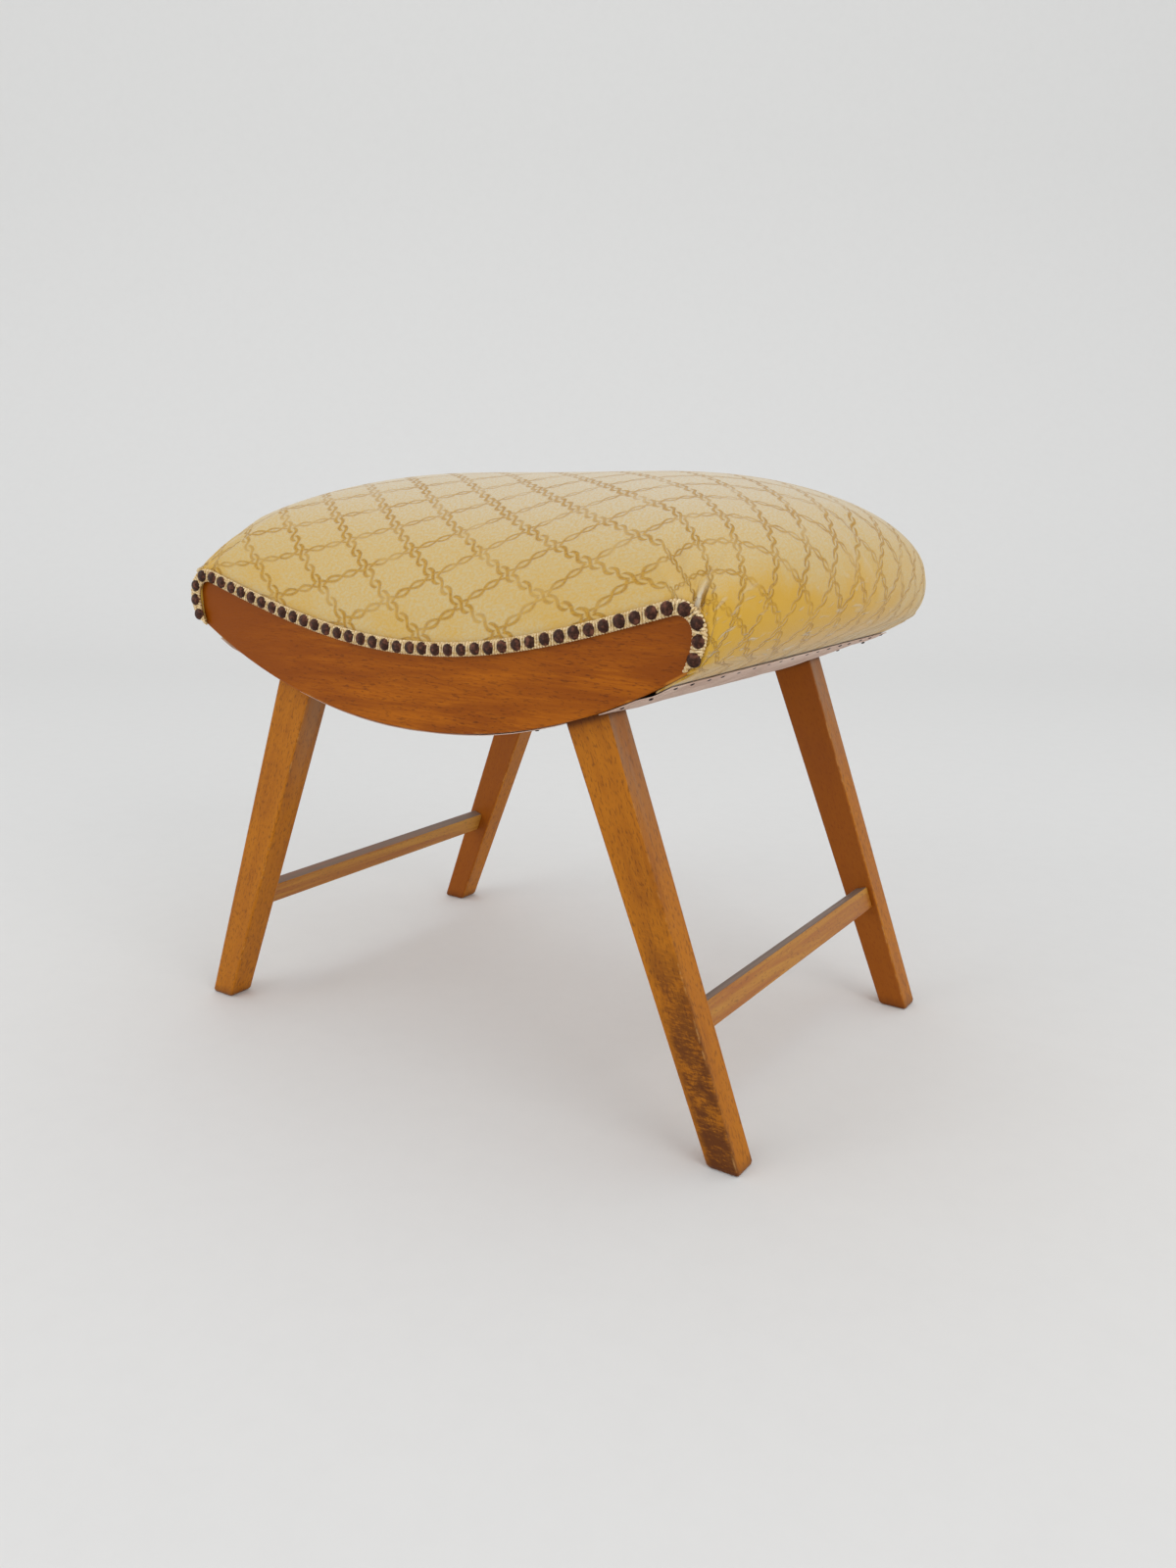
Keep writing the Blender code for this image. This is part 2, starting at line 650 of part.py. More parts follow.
def nail_places():
    """Middles of the nail heads, evenly spaced along the middle of the gimp."""
    path = both_halves(with_foot(edge_half(GIMP_WIDTH / 2)))
    lengths = [math.dist(a, b) for a, b in zip(path, path[1:])]
    count = int(sum(lengths) / NAIL_PITCH)
    places = []
    walked = 0
    for length, a, b in zip(lengths, path, path[1:]):
        while len(places) < count and (len(places) + 0.5) * sum(lengths) / count <= walked + length:
            share = ((len(places) + 0.5) * sum(lengths) / count - walked) / length
            places.append((a[0] + (b[0] - a[0]) * share, a[1] + (b[1] - a[1]) * share))
        walked += length
    return places


def nail_heads(sign):
    """All the domed heads of one gimp in one mesh, each sunk a little into the braid."""
    made = bmesh.new()
    radius = NAIL_DIAMETER / 2
    turn = Matrix.Rotation(-sign * math.pi / 2, 4, "X")
    for x, z in nail_places():
        head = bmesh.new()
        bmesh.ops.create_uvsphere(
            head, u_segments=NAIL_SIDES, v_segments=NAIL_RINGS, radius=1,
            matrix=Matrix.Diagonal((radius, radius, NAIL_RISE, 1)),
        )
        whole = list(head.verts) + list(head.edges) + list(head.faces)
        cut = bmesh.ops.bisect_plane(
            head, geom=whole, plane_co=(0, 0, -NAIL_SINK), plane_no=(0, 0, -1), clear_outer=True
        )["geom_cut"]
        rim = [item for item in cut if isinstance(item, bmesh.types.BMEdge)]
        bmesh.ops.contextual_create(head, geom=rim)
        place = Matrix.Translation((x, sign * GIMP_FACE_Y, z)) @ turn
        bmesh.ops.transform(head, matrix=place, verts=head.verts)
        one = finished(head, "nail")
        made.from_mesh(one)
        bpy.data.meshes.remove(one)
    return finished(made, "nails")


def make_gimps():
    """A braid along the velvet's edge on each face, carrying its row of domed nails."""
    drop = GAP + VELVET_THICKNESS
    outer = both_halves(with_foot(edge_half(GIMP_WIDTH), drop))
    inner = both_halves(with_foot(edge_half(0), drop))
    for face, sign in FACES.items():
        low_y, high_y = sorted((sign * GIMP_BACK_Y, sign * GIMP_FACE_Y))
        mesh, matrix = outline_slab(outer + inner[::-1], low_y, high_y)
        braid = add_part(face + "_gimp_with_nails", mesh, GIMP, matrix)
        boolean(braid, add_cutter("heads_" + face + "_gimp", nail_heads(sign)), "UNION")


def make_dust_cloth():
    """A thin cloth under the seat, lapped over the velvet's folds at its ends and cut round the legs."""
    lap_drop = GAP + VELVET_THICKNESS + GAP
    step_x = VELVET_FOLD_X - CLOTH_LAP_GAP
    ramp_x = step_x - CLOTH_LAP_RAMP
    half = [(ramp_x * step / ARC_STEPS, GAP) for step in range(ARC_STEPS + 1)]
    half += [(step_x, lap_drop), (BOARD_END_X + CLOTH_END_REACH, lap_drop)]
    both = both_halves(half)
    high = [(x, bottom_z(x, drop)) for x, drop in both]
    low = [(x, bottom_z(x, drop + CLOTH_THICKNESS)) for x, drop in both]
    mesh, matrix = outline_slab(high + low[::-1], CLOTH_MARGIN - BOARD_FACE_Y, BOARD_FACE_Y - CLOTH_MARGIN)
    cloth = add_part("dust_cloth", mesh, DUST_CLOTH, matrix)
    low_z = WOOD_BOTTOM_Z - BOARD_THICKNESS
    for face, depth_sign in FACES.items():
        for side, sign in SIDES.items():
            outline = [(sign * (leg_outer_x(z) + CLOTH_NOTCH_GAP), z) for z in (low_z, LEG_TOP_Z)]
            outline += [(sign * (leg_inner_x(z) - CLOTH_NOTCH_GAP), z) for z in (LEG_TOP_Z, low_z)]
            low_y, high_y = sorted((depth_sign * (LEG_INNER_Y - CLOTH_NOTCH_GAP), depth_sign * BOARD_FACE_Y))
            tool, place = outline_slab(outline, low_y, high_y)
            boolean(cloth, add_cutter("cut_cloth_" + face + "_" + side, tool, place))


make_boards()
make_legs()
make_screws()
make_stretchers()
make_end_rails()
make_leg_rails()
make_corner_blocks()
make_webbing()
make_pad()
make_cover()
make_gimps()
make_dust_cloth()
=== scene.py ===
import math
import random

import bmesh
import bpy
import mathutils.noise
import numpy as np
from mathutils import Matrix, Vector


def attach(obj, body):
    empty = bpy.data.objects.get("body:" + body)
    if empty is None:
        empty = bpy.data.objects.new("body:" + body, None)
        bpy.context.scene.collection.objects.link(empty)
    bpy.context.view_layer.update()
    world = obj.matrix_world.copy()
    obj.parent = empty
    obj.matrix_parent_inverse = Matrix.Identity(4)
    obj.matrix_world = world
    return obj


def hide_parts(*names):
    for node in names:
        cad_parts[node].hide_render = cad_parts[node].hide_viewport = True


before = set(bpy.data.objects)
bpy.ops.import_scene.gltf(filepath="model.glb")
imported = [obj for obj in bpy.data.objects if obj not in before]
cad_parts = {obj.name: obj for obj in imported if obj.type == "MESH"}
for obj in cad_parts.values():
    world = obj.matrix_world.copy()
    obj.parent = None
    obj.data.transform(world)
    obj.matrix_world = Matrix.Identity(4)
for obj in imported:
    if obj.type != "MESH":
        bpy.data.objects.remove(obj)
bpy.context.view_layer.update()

random.seed(7)


# Front and back boards
# Two crescents of show-wood, stained orange-brown and varnished. They are sawn from the solid with the grain
# lying along them, and carry the legs, the rails and the upholstery.


def new_finish(name):
    """A new material with its tree and its shader."""
    finish = bpy.data.materials.new(name)
    finish.use_nodes = True
    tree = finish.node_tree
    return finish, tree, tree.nodes["Principled BSDF"]


def node(tree, kind, *values, **settings):
    """Adds a node with these settings, and feeds its inputs in their order."""
    made = tree.nodes.new("ShaderNode" + kind)
    for key, value in settings.items():
        setattr(made, key, value)
    for socket, value in zip(made.inputs, values):
        if isinstance(value, bpy.types.NodeSocket):
            tree.links.new(value, socket)
        elif value is not None:
            socket.default_value = value
    return made


def maths(tree, operation, *values):
    """The result of one sum on numbers or sockets."""
    return node(tree, "Math", *values, operation=operation).outputs[0]


def spread(tree, value, low, high, at_low=0.0, at_high=1.0):
    """Eases from one number to another while the value goes from low to high."""
    made = node(tree, "MapRange", value, low, high, at_low, at_high, interpolation_type="SMOOTHSTEP")
    return made.outputs[0]


def noise(tree, place, scale, detail=3.0, roughness=0.5, distortion=0.0):
    """A cloudy pattern from 0 to 1."""
    made = node(tree, "TexNoise", place)
    settings = {"Scale": scale, "Detail": detail, "Roughness": roughness, "Distortion": distortion}
    for name, value in settings.items():
        made.inputs[name].default_value = value
    return made.outputs["Fac"]


def mixed(tree, share, first, second, blend="MIX"):
    """Mixes two colours by a share."""
    made = node(tree, "Mix", data_type="RGBA", blend_type=blend)
    for socket, value in ((made.inputs[0], share), (made.inputs[6], first), (made.inputs[7], second)):
        if isinstance(value, bpy.types.NodeSocket):
            tree.links.new(value, socket)
        else:
            socket.default_value = value if isinstance(value, float) else (*value, 1.0)
    return made.outputs[2]


def stretched(tree, place, scale, turn=(0, 0, 0)):
    """A place stretched and turned for one pattern."""
    return node(tree, "Mapping", place, None, turn, scale).outputs[0]


def place_on_object(tree, scale=(1, 1, 1), turn=(0, 0, 0)):
    """The point's own place on the object, for one pattern."""
    return stretched(tree, node(tree, "TexCoord").outputs["Object"], scale, turn)


def relief(tree, shader, height, depth):
    """Lets a height from 0 to 1 stand up from the surface by the depth."""
    made = node(tree, "Bump")
    made.inputs["Strength"].default_value = 1.0
    made.inputs["Distance"].default_value = depth
    tree.links.new(height, made.inputs["Height"])
    tree.links.new(made.outputs[0], shader.inputs["Normal"])
    return made


def above_arc(tree, across, height):
    """How far a point lies above the arc that both boards are cut to below, in nodes."""
    square = maths(tree, "MULTIPLY_ADD", maths(tree, "MULTIPLY", across, across), -1.0, BOTTOM_RADIUS**2)
    off_centre = maths(tree, "SUBTRACT", height, WOOD_BOTTOM_Z + BOTTOM_RADIUS)
    return maths(tree, "ADD", off_centre, maths(tree, "SQRT", square))


def dress(name, finish):
    """Gives a CAD node its finish."""
    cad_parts[name].material_slots[0].material = finish


BOARD_HONEY = (0.41, 0.112, 0.002)
BOARD_BROWN = (0.24, 0.054, 0.001)
BOARD_DARK = (0.060, 0.012, 0.002)
BOARD_EDGE = (0.62, 0.25, 0.03)
BOARD_RELIEF = 0.00012
BOARD_END_X = 0.2195
WOOD_BOTTOM_Z = 0.2685
BOTTOM_RADIUS = 0.42
LEFT_SHADE_END_X = -0.02
RIGHT_SHADE_LENGTH = 0.06
LOW_EDGE_WEAR = (0.0008, 0.0024)
CRACK_Z = 0.372
CRACK_HALF_WIDTHS = (0.0002, 0.0006)
CRACK_WOBBLE = 0.004
CRACK_LENGTH = 0.012
CRACK_FADE = 0.010

board_finish, tree, shader = new_finish("stained_board")
figure = noise(tree, place_on_object(tree, (9, 9, 75), (0, 0.12, 0)), 1.0, 5.0, 0.6, 0.5)
fibre = noise(tree, place_on_object(tree, (45, 45, 700), (0, 0.1, 0)), 1.0, 4.0, 0.6, 0.3)
fleck = noise(tree, place_on_object(tree, (190, 190, 900), (0, -0.15, 0)), 1.0, 2.0, 0.5)
cloud = noise(tree, place_on_object(tree, (1, 1, 2)), 7.0, 2.0)
colour = mixed(tree, spread(tree, figure, 0.34, 0.68), BOARD_BROWN, BOARD_HONEY)
colour = mixed(tree, spread(tree, fibre, 0.42, 0.66, 0.0, 0.65), colour, BOARD_BROWN)
colour = mixed(tree, spread(tree, fleck, 0.56, 0.70, 0.0, 0.5), colour, BOARD_DARK)
colour = mixed(tree, spread(tree, cloud, 0.45, 0.7, 0.0, 0.35), colour, BOARD_HONEY)
split = node(tree, "SeparateXYZ", place_on_object(tree))
left_shade = spread(tree, split.outputs[0], -BOARD_END_X, LEFT_SHADE_END_X, 1.0, 0.0)
right_shade = spread(tree, split.outputs[0], BOARD_END_X - RIGHT_SHADE_LENGTH, BOARD_END_X, 0.0, 0.4)
colour = mixed(tree, maths(tree, "MAXIMUM", left_shade, right_shade), colour, BOARD_BROWN)
low_edge = spread(tree, above_arc(tree, split.outputs[0], split.outputs[2]), *LOW_EDGE_WEAR, 1.0, 0.0)
# Real wear: the board's lower arris is rubbed pale in patches.
wear_and_pleat_highlight = spread(tree, noise(tree, place_on_object(tree), 38.0, 4.0, 0.65), 0.5, 0.68, 0.0, 0.6)
colour = mixed(tree, maths(tree, "MULTIPLY", low_edge, wear_and_pleat_highlight), colour, BOARD_EDGE)
wobble = noise(tree, place_on_object(tree, (60, 60, 1)), 1.0)
wobble = maths(tree, "MULTIPLY_ADD", wobble, CRACK_WOBBLE, split.outputs[2])
crack = maths(tree, "ABSOLUTE", maths(tree, "SUBTRACT", wobble, CRACK_Z))
crack = spread(tree, crack, *CRACK_HALF_WIDTHS, 1.0, 0.0)
crack_end_x = CRACK_LENGTH - BOARD_END_X
near_tip = spread(tree, split.outputs[0], crack_end_x, crack_end_x + CRACK_FADE, 1.0, 0.0)
crack = maths(tree, "MULTIPLY", crack, near_tip)
colour = mixed(tree, crack, colour, BOARD_DARK)
tree.links.new(colour, shader.inputs["Base Color"])
tree.links.new(spread(tree, cloud, 0.3, 0.7, 0.30, 0.42), shader.inputs["Roughness"])
shader.inputs["Specular IOR Level"].default_value = 0.12
height = maths(tree, "SUBTRACT", maths(tree, "MULTIPLY_ADD", fibre, 0.5, fleck), crack)
relief(tree, shader, height, BOARD_RELIEF)
for name in ("front_board", "back_board"):
    dress(name, board_finish)


# Legs
# Four tapering beech slats, varnished honey brown, that lap on the boards' inner faces and splay sideways.
# Each is screwed on from inside. The arrises are worn pale, the feet are dark, and the front right leg is
# scuffed low down on its front.

LEG_HONEY = (0.45, 0.15, 0.005)
LEG_BROWN = (0.33, 0.098, 0.003)
LEG_DARK = (0.085, 0.022, 0.004)
LEG_WORN = (0.68, 0.38, 0.13)
LEG_PAINTED_SHADE = (0.24, 0.055, 0.003)
LEG_SHEEN_GREY = (0.23, 0.155, 0.105)
FOOT_OUTER_X = 0.2573
FOOT_WIDTH = 0.0233
LEG_OUTER_TURN = math.radians(19.8)
LEG_INNER_TURN = math.radians(22.1)
LEG_MIDDLE_Y = 0.160
LEG_THICKNESS = 0.0226
LEG_RELIEF = 0.00015
ARRIS_WEAR = (0.0005, 0.0015)
SCUFF_Y = (-0.172, -0.166)
SCUFF_X = (0.10, 0.14)
SCUFF_TOP = (0.10, 0.27)
SCUFF_SIDE = (-0.011, -0.002)
BACK_LEGS_Y = (0.10, 0.12)
SIDE_SHEEN_Z = (0.17, 0.29)
JOINT_SHADE = (-0.007, -0.0005)
FOOT_SHADE = (0.004, 0.016)


def leg_distances(tree):
    """The distance from a leg's middle across it, from its sides, and from its faces, in nodes."""
    where = node(tree, "SeparateXYZ", place_on_object(tree))
    across, depth, height = (where.outputs[k] for k in range(3))
    middle_lean = (math.tan(LEG_OUTER_TURN) + math.tan(LEG_INNER_TURN)) / 2
    half_taper = (math.tan(LEG_INNER_TURN) - math.tan(LEG_OUTER_TURN)) / 2
    middle = maths(tree, "MULTIPLY_ADD", height, -middle_lean, FOOT_OUTER_X - FOOT_WIDTH / 2)
    half = maths(tree, "MULTIPLY_ADD", height, half_taper, FOOT_WIDTH / 2)
    beside = maths(tree, "SUBTRACT", maths(tree, "ABSOLUTE", across), middle)
    from_side = maths(tree, "SUBTRACT", half, maths(tree, "ABSOLUTE", beside))
    off_middle = maths(tree, "SUBTRACT", maths(tree, "ABSOLUTE", depth), LEG_MIDDLE_Y)
    from_face = maths(tree, "SUBTRACT", LEG_THICKNESS / 2, maths(tree, "ABSOLUTE", off_middle))
    return across, depth, height, beside, from_side, from_face


leg_finish, tree, shader = new_finish("varnished_leg")
across, depth, height, beside, from_side, from_face = leg_distances(tree)
own = node(tree, "CombineXYZ", beside, depth, height).outputs[0]
grain = noise(tree, stretched(tree, own, (110, 110, 9)), 1.0, 4.0, 0.55, 0.4)
fleck = noise(tree, stretched(tree, own, (700, 700, 240)), 1.0, 2.0, 0.5)
patch = noise(tree, own, 22.0, 3.0, 0.6)
colour = mixed(tree, spread(tree, grain, 0.25, 0.75), LEG_BROWN, LEG_HONEY)
colour = mixed(tree, spread(tree, patch, 0.35, 0.65, 0.0, 0.6), colour, LEG_HONEY)
colour = mixed(tree, spread(tree, fleck, 0.52, 0.68, 0.0, 0.5), colour, LEG_DARK)
front_right = maths(tree, "MULTIPLY", spread(tree, depth, *SCUFF_Y, 1.0, 0.0), spread(tree, across, *SCUFF_X))
scuff = spread(tree, maths(tree, "MULTIPLY_ADD", patch, 0.10, height), *SCUFF_TOP, 1.0, 0.0)
scratch = noise(tree, stretched(tree, own, (150, 150, 560), (0, 0.4, 0)), 1.0, 4.0, 0.8)
blotch = noise(tree, own, 60.0, 4.0, 0.65)
scraped = spread(tree, maths(tree, "ADD", scratch, blotch), 0.74, 1.08, 0.1, 0.95)
scuff = maths(tree, "MULTIPLY", scuff, scraped)
one_side = spread(tree, maths(tree, "MULTIPLY_ADD", blotch, 0.006, beside), *SCUFF_SIDE)
scuff = maths(tree, "MULTIPLY", scuff, one_side)
colour = mixed(tree, maths(tree, "MULTIPLY", scuff, front_right), colour, LEG_DARK)
facing = node(tree, "SeparateXYZ", node(tree, "NewGeometry").outputs["Normal"])
# Painted shade: the back legs' faces that look to the front are turned darker and redder.
facing_front = spread(tree, facing.outputs[1], -0.9, -0.6, 0.75, 0.0)
back_leg_painted_shade = maths(tree, "MULTIPLY", spread(tree, depth, *BACK_LEGS_Y), facing_front)
colour = mixed(tree, back_leg_painted_shade, colour, LEG_PAINTED_SHADE)
arris = spread(tree, maths(tree, "MAXIMUM", from_side, from_face), *ARRIS_WEAR, 1.0, 0.0)
worn = maths(tree, "MULTIPLY", arris, spread(tree, noise(tree, own, 90.0, 4.0, 0.7), 0.50, 0.66))
colour = mixed(tree, maths(tree, "MULTIPLY", worn, 0.35), colour, LEG_WORN)
# Painted sheen: the faces that look to the right are greyed, more towards their tops, in place of the pale
# reflection on their varnish.
facing_right = spread(tree, facing.outputs[0], 0.6, 0.85)
painted_side_sheen = maths(tree, "MULTIPLY", spread(tree, height, *SIDE_SHEEN_Z, 0.0, 0.6), facing_right)
painted_side_sheen = maths(tree, "MULTIPLY", painted_side_sheen, spread(tree, grain, 0.3, 0.6, 0.4, 1.0))
colour = mixed(tree, painted_side_sheen, colour, LEG_SHEEN_GREY)
# Painted shade: each leg's top is darkened just below the boards' lower arc, where it meets the board.
painted_joint_shade = spread(tree, above_arc(tree, across, height), *JOINT_SHADE, 0.0, 0.85)
colour = mixed(tree, painted_joint_shade, colour, LEG_DARK)
foot = spread(tree, maths(tree, "MULTIPLY_ADD", patch, 0.01, height), *FOOT_SHADE, 0.6, 0.0)
colour = mixed(tree, foot, colour, LEG_DARK)
tree.links.new(colour, shader.inputs["Base Color"])
tree.links.new(spread(tree, patch, 0.3, 0.7, 0.32, 0.5), shader.inputs["Roughness"])
shader.inputs["Specular IOR Level"].default_value = 0.16
relief(tree, shader, maths(tree, "SUBTRACT", maths(tree, "ADD", grain, fleck), worn), LEG_RELIEF)
for face in ("front", "back"):
    for side in ("left", "right"):
        dress(face + "_" + side + "_leg", leg_finish)


# Stretchers
# A flat beech rail on each side, tenoned into the front and the back leg and lying parallel to their outer
# faces. Their upper faces have gone grey with dust and handling.

STRETCHER_GREY = (0.17, 0.125, 0.10)
STRETCHER_WOOD = (0.47, 0.215, 0.024)

stretcher_finish, tree, shader = new_finish("dusty_stretcher")
grain = noise(tree, place_on_object(tree, (130, 5, 130)), 1.0, 4.0, 0.6, 0.8)
fleck = noise(tree, place_on_object(tree, (700, 240, 700)), 1.0, 2.0, 0.5)
colour = mixed(tree, spread(tree, grain, 0.35, 0.68), LEG_BROWN, STRETCHER_WOOD)
colour = mixed(tree, spread(tree, fleck, 0.56, 0.70, 0.0, 0.4), colour, LEG_DARK)
facing = node(tree, "SeparateXYZ", node(tree, "NewGeometry").outputs["Normal"])
facing_up = spread(tree, facing.outputs[2], 0.75, 0.9)
dust = maths(tree, "MULTIPLY", facing_up, spread(tree, grain, 0.3, 0.6, 0.6, 0.95))
colour = mixed(tree, dust, colour, STRETCHER_GREY)
tree.links.new(colour, shader.inputs["Base Color"])
tree.links.new(spread(tree, grain, 0.3, 0.7, 0.42, 0.6), shader.inputs["Roughness"])
relief(tree, shader, maths(tree, "ADD", grain, fleck), LEG_RELIEF)
for side in ("left", "right"):
    dress(side + "_stretcher", stretcher_finish)


# Inner frame
# Raw beech rails across the ends and beside the legs, with a glued block in each corner. They stay
# unfinished, because the velvet and the dust cloth hide them.

RAW_BEECH = (0.60, 0.42, 0.24)
RAW_BEECH_DARK = (0.42, 0.26, 0.13)
RAW_RELIEF = 0.0002

raw_finish, tree, shader = new_finish("raw_beech")
grain = noise(tree, place_on_object(tree, (90, 6, 90)), 1.0, 4.0, 0.6, 0.6)
colour = mixed(tree, spread(tree, grain, 0.35, 0.7), RAW_BEECH_DARK, RAW_BEECH)
tree.links.new(colour, shader.inputs["Base Color"])
tree.links.new(spread(tree, grain, 0.3, 0.7, 0.6, 0.75), shader.inputs["Roughness"])
relief(tree, shader, grain, RAW_RELIEF)
for side in ("left", "right"):
    dress(side + "_end_rail", raw_finish)
    dress(side + "_leg_rail", raw_finish)
    for face in ("front", "back"):
        dress(face + "_" + side + "_corner_block", raw_finish)


# Leg screws
# Two slotless countersunk steel screws through each leg into its board, driven from inside and dulled with
# age.

STEEL = (0.42, 0.40, 0.37)
STEEL_DARK = (0.16, 0.12, 0.09)
STEEL_RELIEF = 0.00005

screw_finish, tree, shader = new_finish("dulled_steel")
dulling = noise(tree, place_on_object(tree), 900.0, 3.0, 0.6)
tree.links.new(mixed(tree, spread(tree, dulling, 0.45, 0.7), STEEL, STEEL_DARK), shader.inputs["Base Color"])
tree.links.new(spread(tree, dulling, 0.3, 0.7, 0.3, 0.55), shader.inputs["Roughness"])
shader.inputs["Metallic"].default_value = 1.0
relief(tree, shader, dulling, STEEL_RELIEF)
for face in ("front", "back"):
    for side in ("left", "right"):
        for place in ("lower", "upper"):
            dress(face + "_" + side + "_leg_screw_" + place, screw_finish)


# Webbing and hessian
# Seven jute straps strained from board to board over their upper edges, and a loose-woven hessian sheet
# tacked over them, which carry the stuffing.

JUTE = (0.45, 0.31, 0.17)
JUTE_DARK = (0.24, 0.14, 0.06)
STRAP_COUNT = 7
JUTE_THREAD = 0.0014
HESSIAN_THREAD = 0.0011


def woven_finish(name, thread, light, dark):
    """A plain weave of round threads, running along and across the seat."""
    finish, tree, shader = new_finish(name)
    where = node(tree, "SeparateXYZ", place_on_object(tree))
    turn = math.pi / thread
    warp = maths(tree, "ABSOLUTE", maths(tree, "SINE", maths(tree, "MULTIPLY", where.outputs[0], turn)))
    weft = maths(tree, "ABSOLUTE", maths(tree, "SINE", maths(tree, "MULTIPLY", where.outputs[1], turn)))
    thread_height = maths(tree, "MULTIPLY", warp, weft)
    uneven = noise(tree, place_on_object(tree, (300, 40, 300)), 1.0, 3.0, 0.6)
    colour = mixed(tree, thread_height, dark, light)
    colour = mixed(tree, spread(tree, uneven, 0.4, 0.7, 0.0, 0.5), colour, dark)
    tree.links.new(colour, shader.inputs["Base Color"])
    shader.inputs["Roughness"].default_value = 0.9
    relief(tree, shader, thread_height, thread / 3)
    return finish


jute_finish = woven_finish("jute_webbing", JUTE_THREAD, JUTE, JUTE_DARK)
for number in range(1, STRAP_COUNT + 1):
    dress("webbing_strap_" + str(number), jute_finish)
dress("hessian_sheet", woven_finish("hessian", HESSIAN_THREAD, JUTE, JUTE_DARK))


# Seat cushion
# One stuffed saddle seat in cream-gold velvet, crowned over the webbing. The cloth is drawn tight over the
# stuffing, down each board's face and in under the ends, with a pleat laid at each of its four corners.

WOOD_TOP_Z = 0.3221
TOP_WAVE_LENGTH = 0.818
TOP_WAVE_RISE = 0.0784
WOOD_CORNER_RADIUS = 0.010
GIMP_WIDTH = 0.0105
VELVET_FACE_Y = 0.1876
VELVET_THICKNESS = 0.0012
VELVET_TURN_X = 0.2285
VELVET_FOLD_X = 0.192
VELVET_LOW_DROP = 0.0015
SKIRT_DEPTH = 0.0095
SKIRT_TURN_IN = 0.008
CROWN_RISE = 0.1219
CROWN_END_X = 0.2495
CROWN_END_REACH = 0.0915
CROWN_HUMP_X = 0.0926
CROWN_HUMP_RISE = 0.0013
CROWN_END_DROP = 0.0357
CROWN_BELLY = 0.009
CROWN_TURN_BULGE = 0.012
TURN_REACH = 0.010
FOLD_HEIGHT_SHARE = 0.55
CLOTH_SQUARE = 0.004
FOLD_UNDER_LENGTH = 0.050
TURN_EASE = 0.010
TURN_EASE_LEAD = 0.018
UNDER_HALF_DEPTH = 0.1835
UNDER_SHARES = (0.93, 0.8, 0.5, 0.2)
FULLER_OUT = 0.005
FULLER_UP = 0.004
SWELL_START = 0.0012
SWELL_MOST = 0.006
SWELL_PRESSURE = 4.0
SWELL_FRAMES = 20
PLEAT_LENGTH = 0.055
PLEAT_DEPTH = 0.0040
PLEAT_FOOT = 0.001
PLEAT_FOOT_EASE = 0.004
PLEAT_LEAN = 0.03
PLEAT_CLOSENESS = 1.6
PLEAT_CLOSE_REACH = 0.012
EDGE_LENGTH_SHARE = 0.32
EDGE_LENGTH_GROWTH = 8.0
INNER_END_X = 0.2273
INNER_END_RISE = 0.002
PAD_UNDER_RISE = 0.0125
TOP_STEPS = 80
END_STEPS = 24
FOLD_STEPS = 16

# Each crease of a pleat: its place across the pleat, its height as a share of the pleat's depth, its width.
PLEAT_CREASES = (
    (0.0, 0.7, 0.0018),
    (0.0034, -1.0, 0.0014),
    (-0.0036, -0.5, 0.0014),
    (0.0085, -0.35, 0.0015),
    (-0.0090, -0.25, 0.0018),
)


def bottom_z(x, drop=0.0):
    """The height of the boards' lower arc, or of the arc that lies this far below it."""
    return WOOD_BOTTOM_Z + BOTTOM_RADIUS - math.sqrt((BOTTOM_RADIUS + drop) ** 2 - x**2)


def wave_z(x):
    """The height of the boards' upper edge."""
    return WOOD_TOP_Z + TOP_WAVE_RISE / 2 * (1 - math.cos(2 * math.pi * x / TOP_WAVE_LENGTH))


def wave_turn(x):
    """How steeply the boards' upper edge rises."""
    return math.atan(TOP_WAVE_RISE * math.pi / TOP_WAVE_LENGTH * math.sin(2 * math.pi * x / TOP_WAVE_LENGTH))


corner_x = BOARD_END_X - WOOD_CORNER_RADIUS
touch_x = corner_x
for _ in range(20):
    touch_x = corner_x - WOOD_CORNER_RADIUS * math.sin(wave_turn(touch_x))
corner_z = wave_z(touch_x) - WOOD_CORNER_RADIUS * math.cos(wave_turn(touch_x))
corner_turn = math.pi / 2 + wave_turn(touch_x)


def edge_half(offset):
    """The crescent's edge moved outwards, from its middle round the right corner to the end."""
    points = []
    for step in range(TOP_STEPS):
        x = touch_x * step / TOP_STEPS
        points.append((x - offset * math.sin(wave_turn(x)), wave_z(x) + offset * math.cos(wave_turn(x))))
    radius = WOOD_CORNER_RADIUS + offset
    for step in range(END_STEPS + 1):
        turn = corner_turn * (1 - step / END_STEPS)
        points.append((corner_x + radius * math.cos(turn), corner_z + radius * math.sin(turn)))
    return points


def ridge_half():
    """The seat's ridge at mid depth, from its middle to its end, with as many points as the edge."""
    start_x = CROWN_END_X - CROWN_END_REACH

    def ridge_z(x):
        share = (x / CROWN_HUMP_X) ** 2
        return WOOD_TOP_Z + CROWN_RISE + CROWN_HUMP_RISE * (2 * share - share**2)

    points = [(start_x * step / TOP_STEPS, ridge_z(start_x * step / TOP_STEPS)) for step in range(TOP_STEPS)]
    share = (start_x / CROWN_HUMP_X) ** 2
    slope = 4 * CROWN_HUMP_RISE / start_x * (share - share**2)
    for step in range(END_STEPS + 1):
        turn = math.pi / 2 * step / END_STEPS
        reach = CROWN_END_REACH * math.sin(turn)
        z = ridge_z(start_x) + slope * reach - CROWN_END_DROP * (1 - math.cos(turn))
        points.append((start_x + reach, z))
    return points


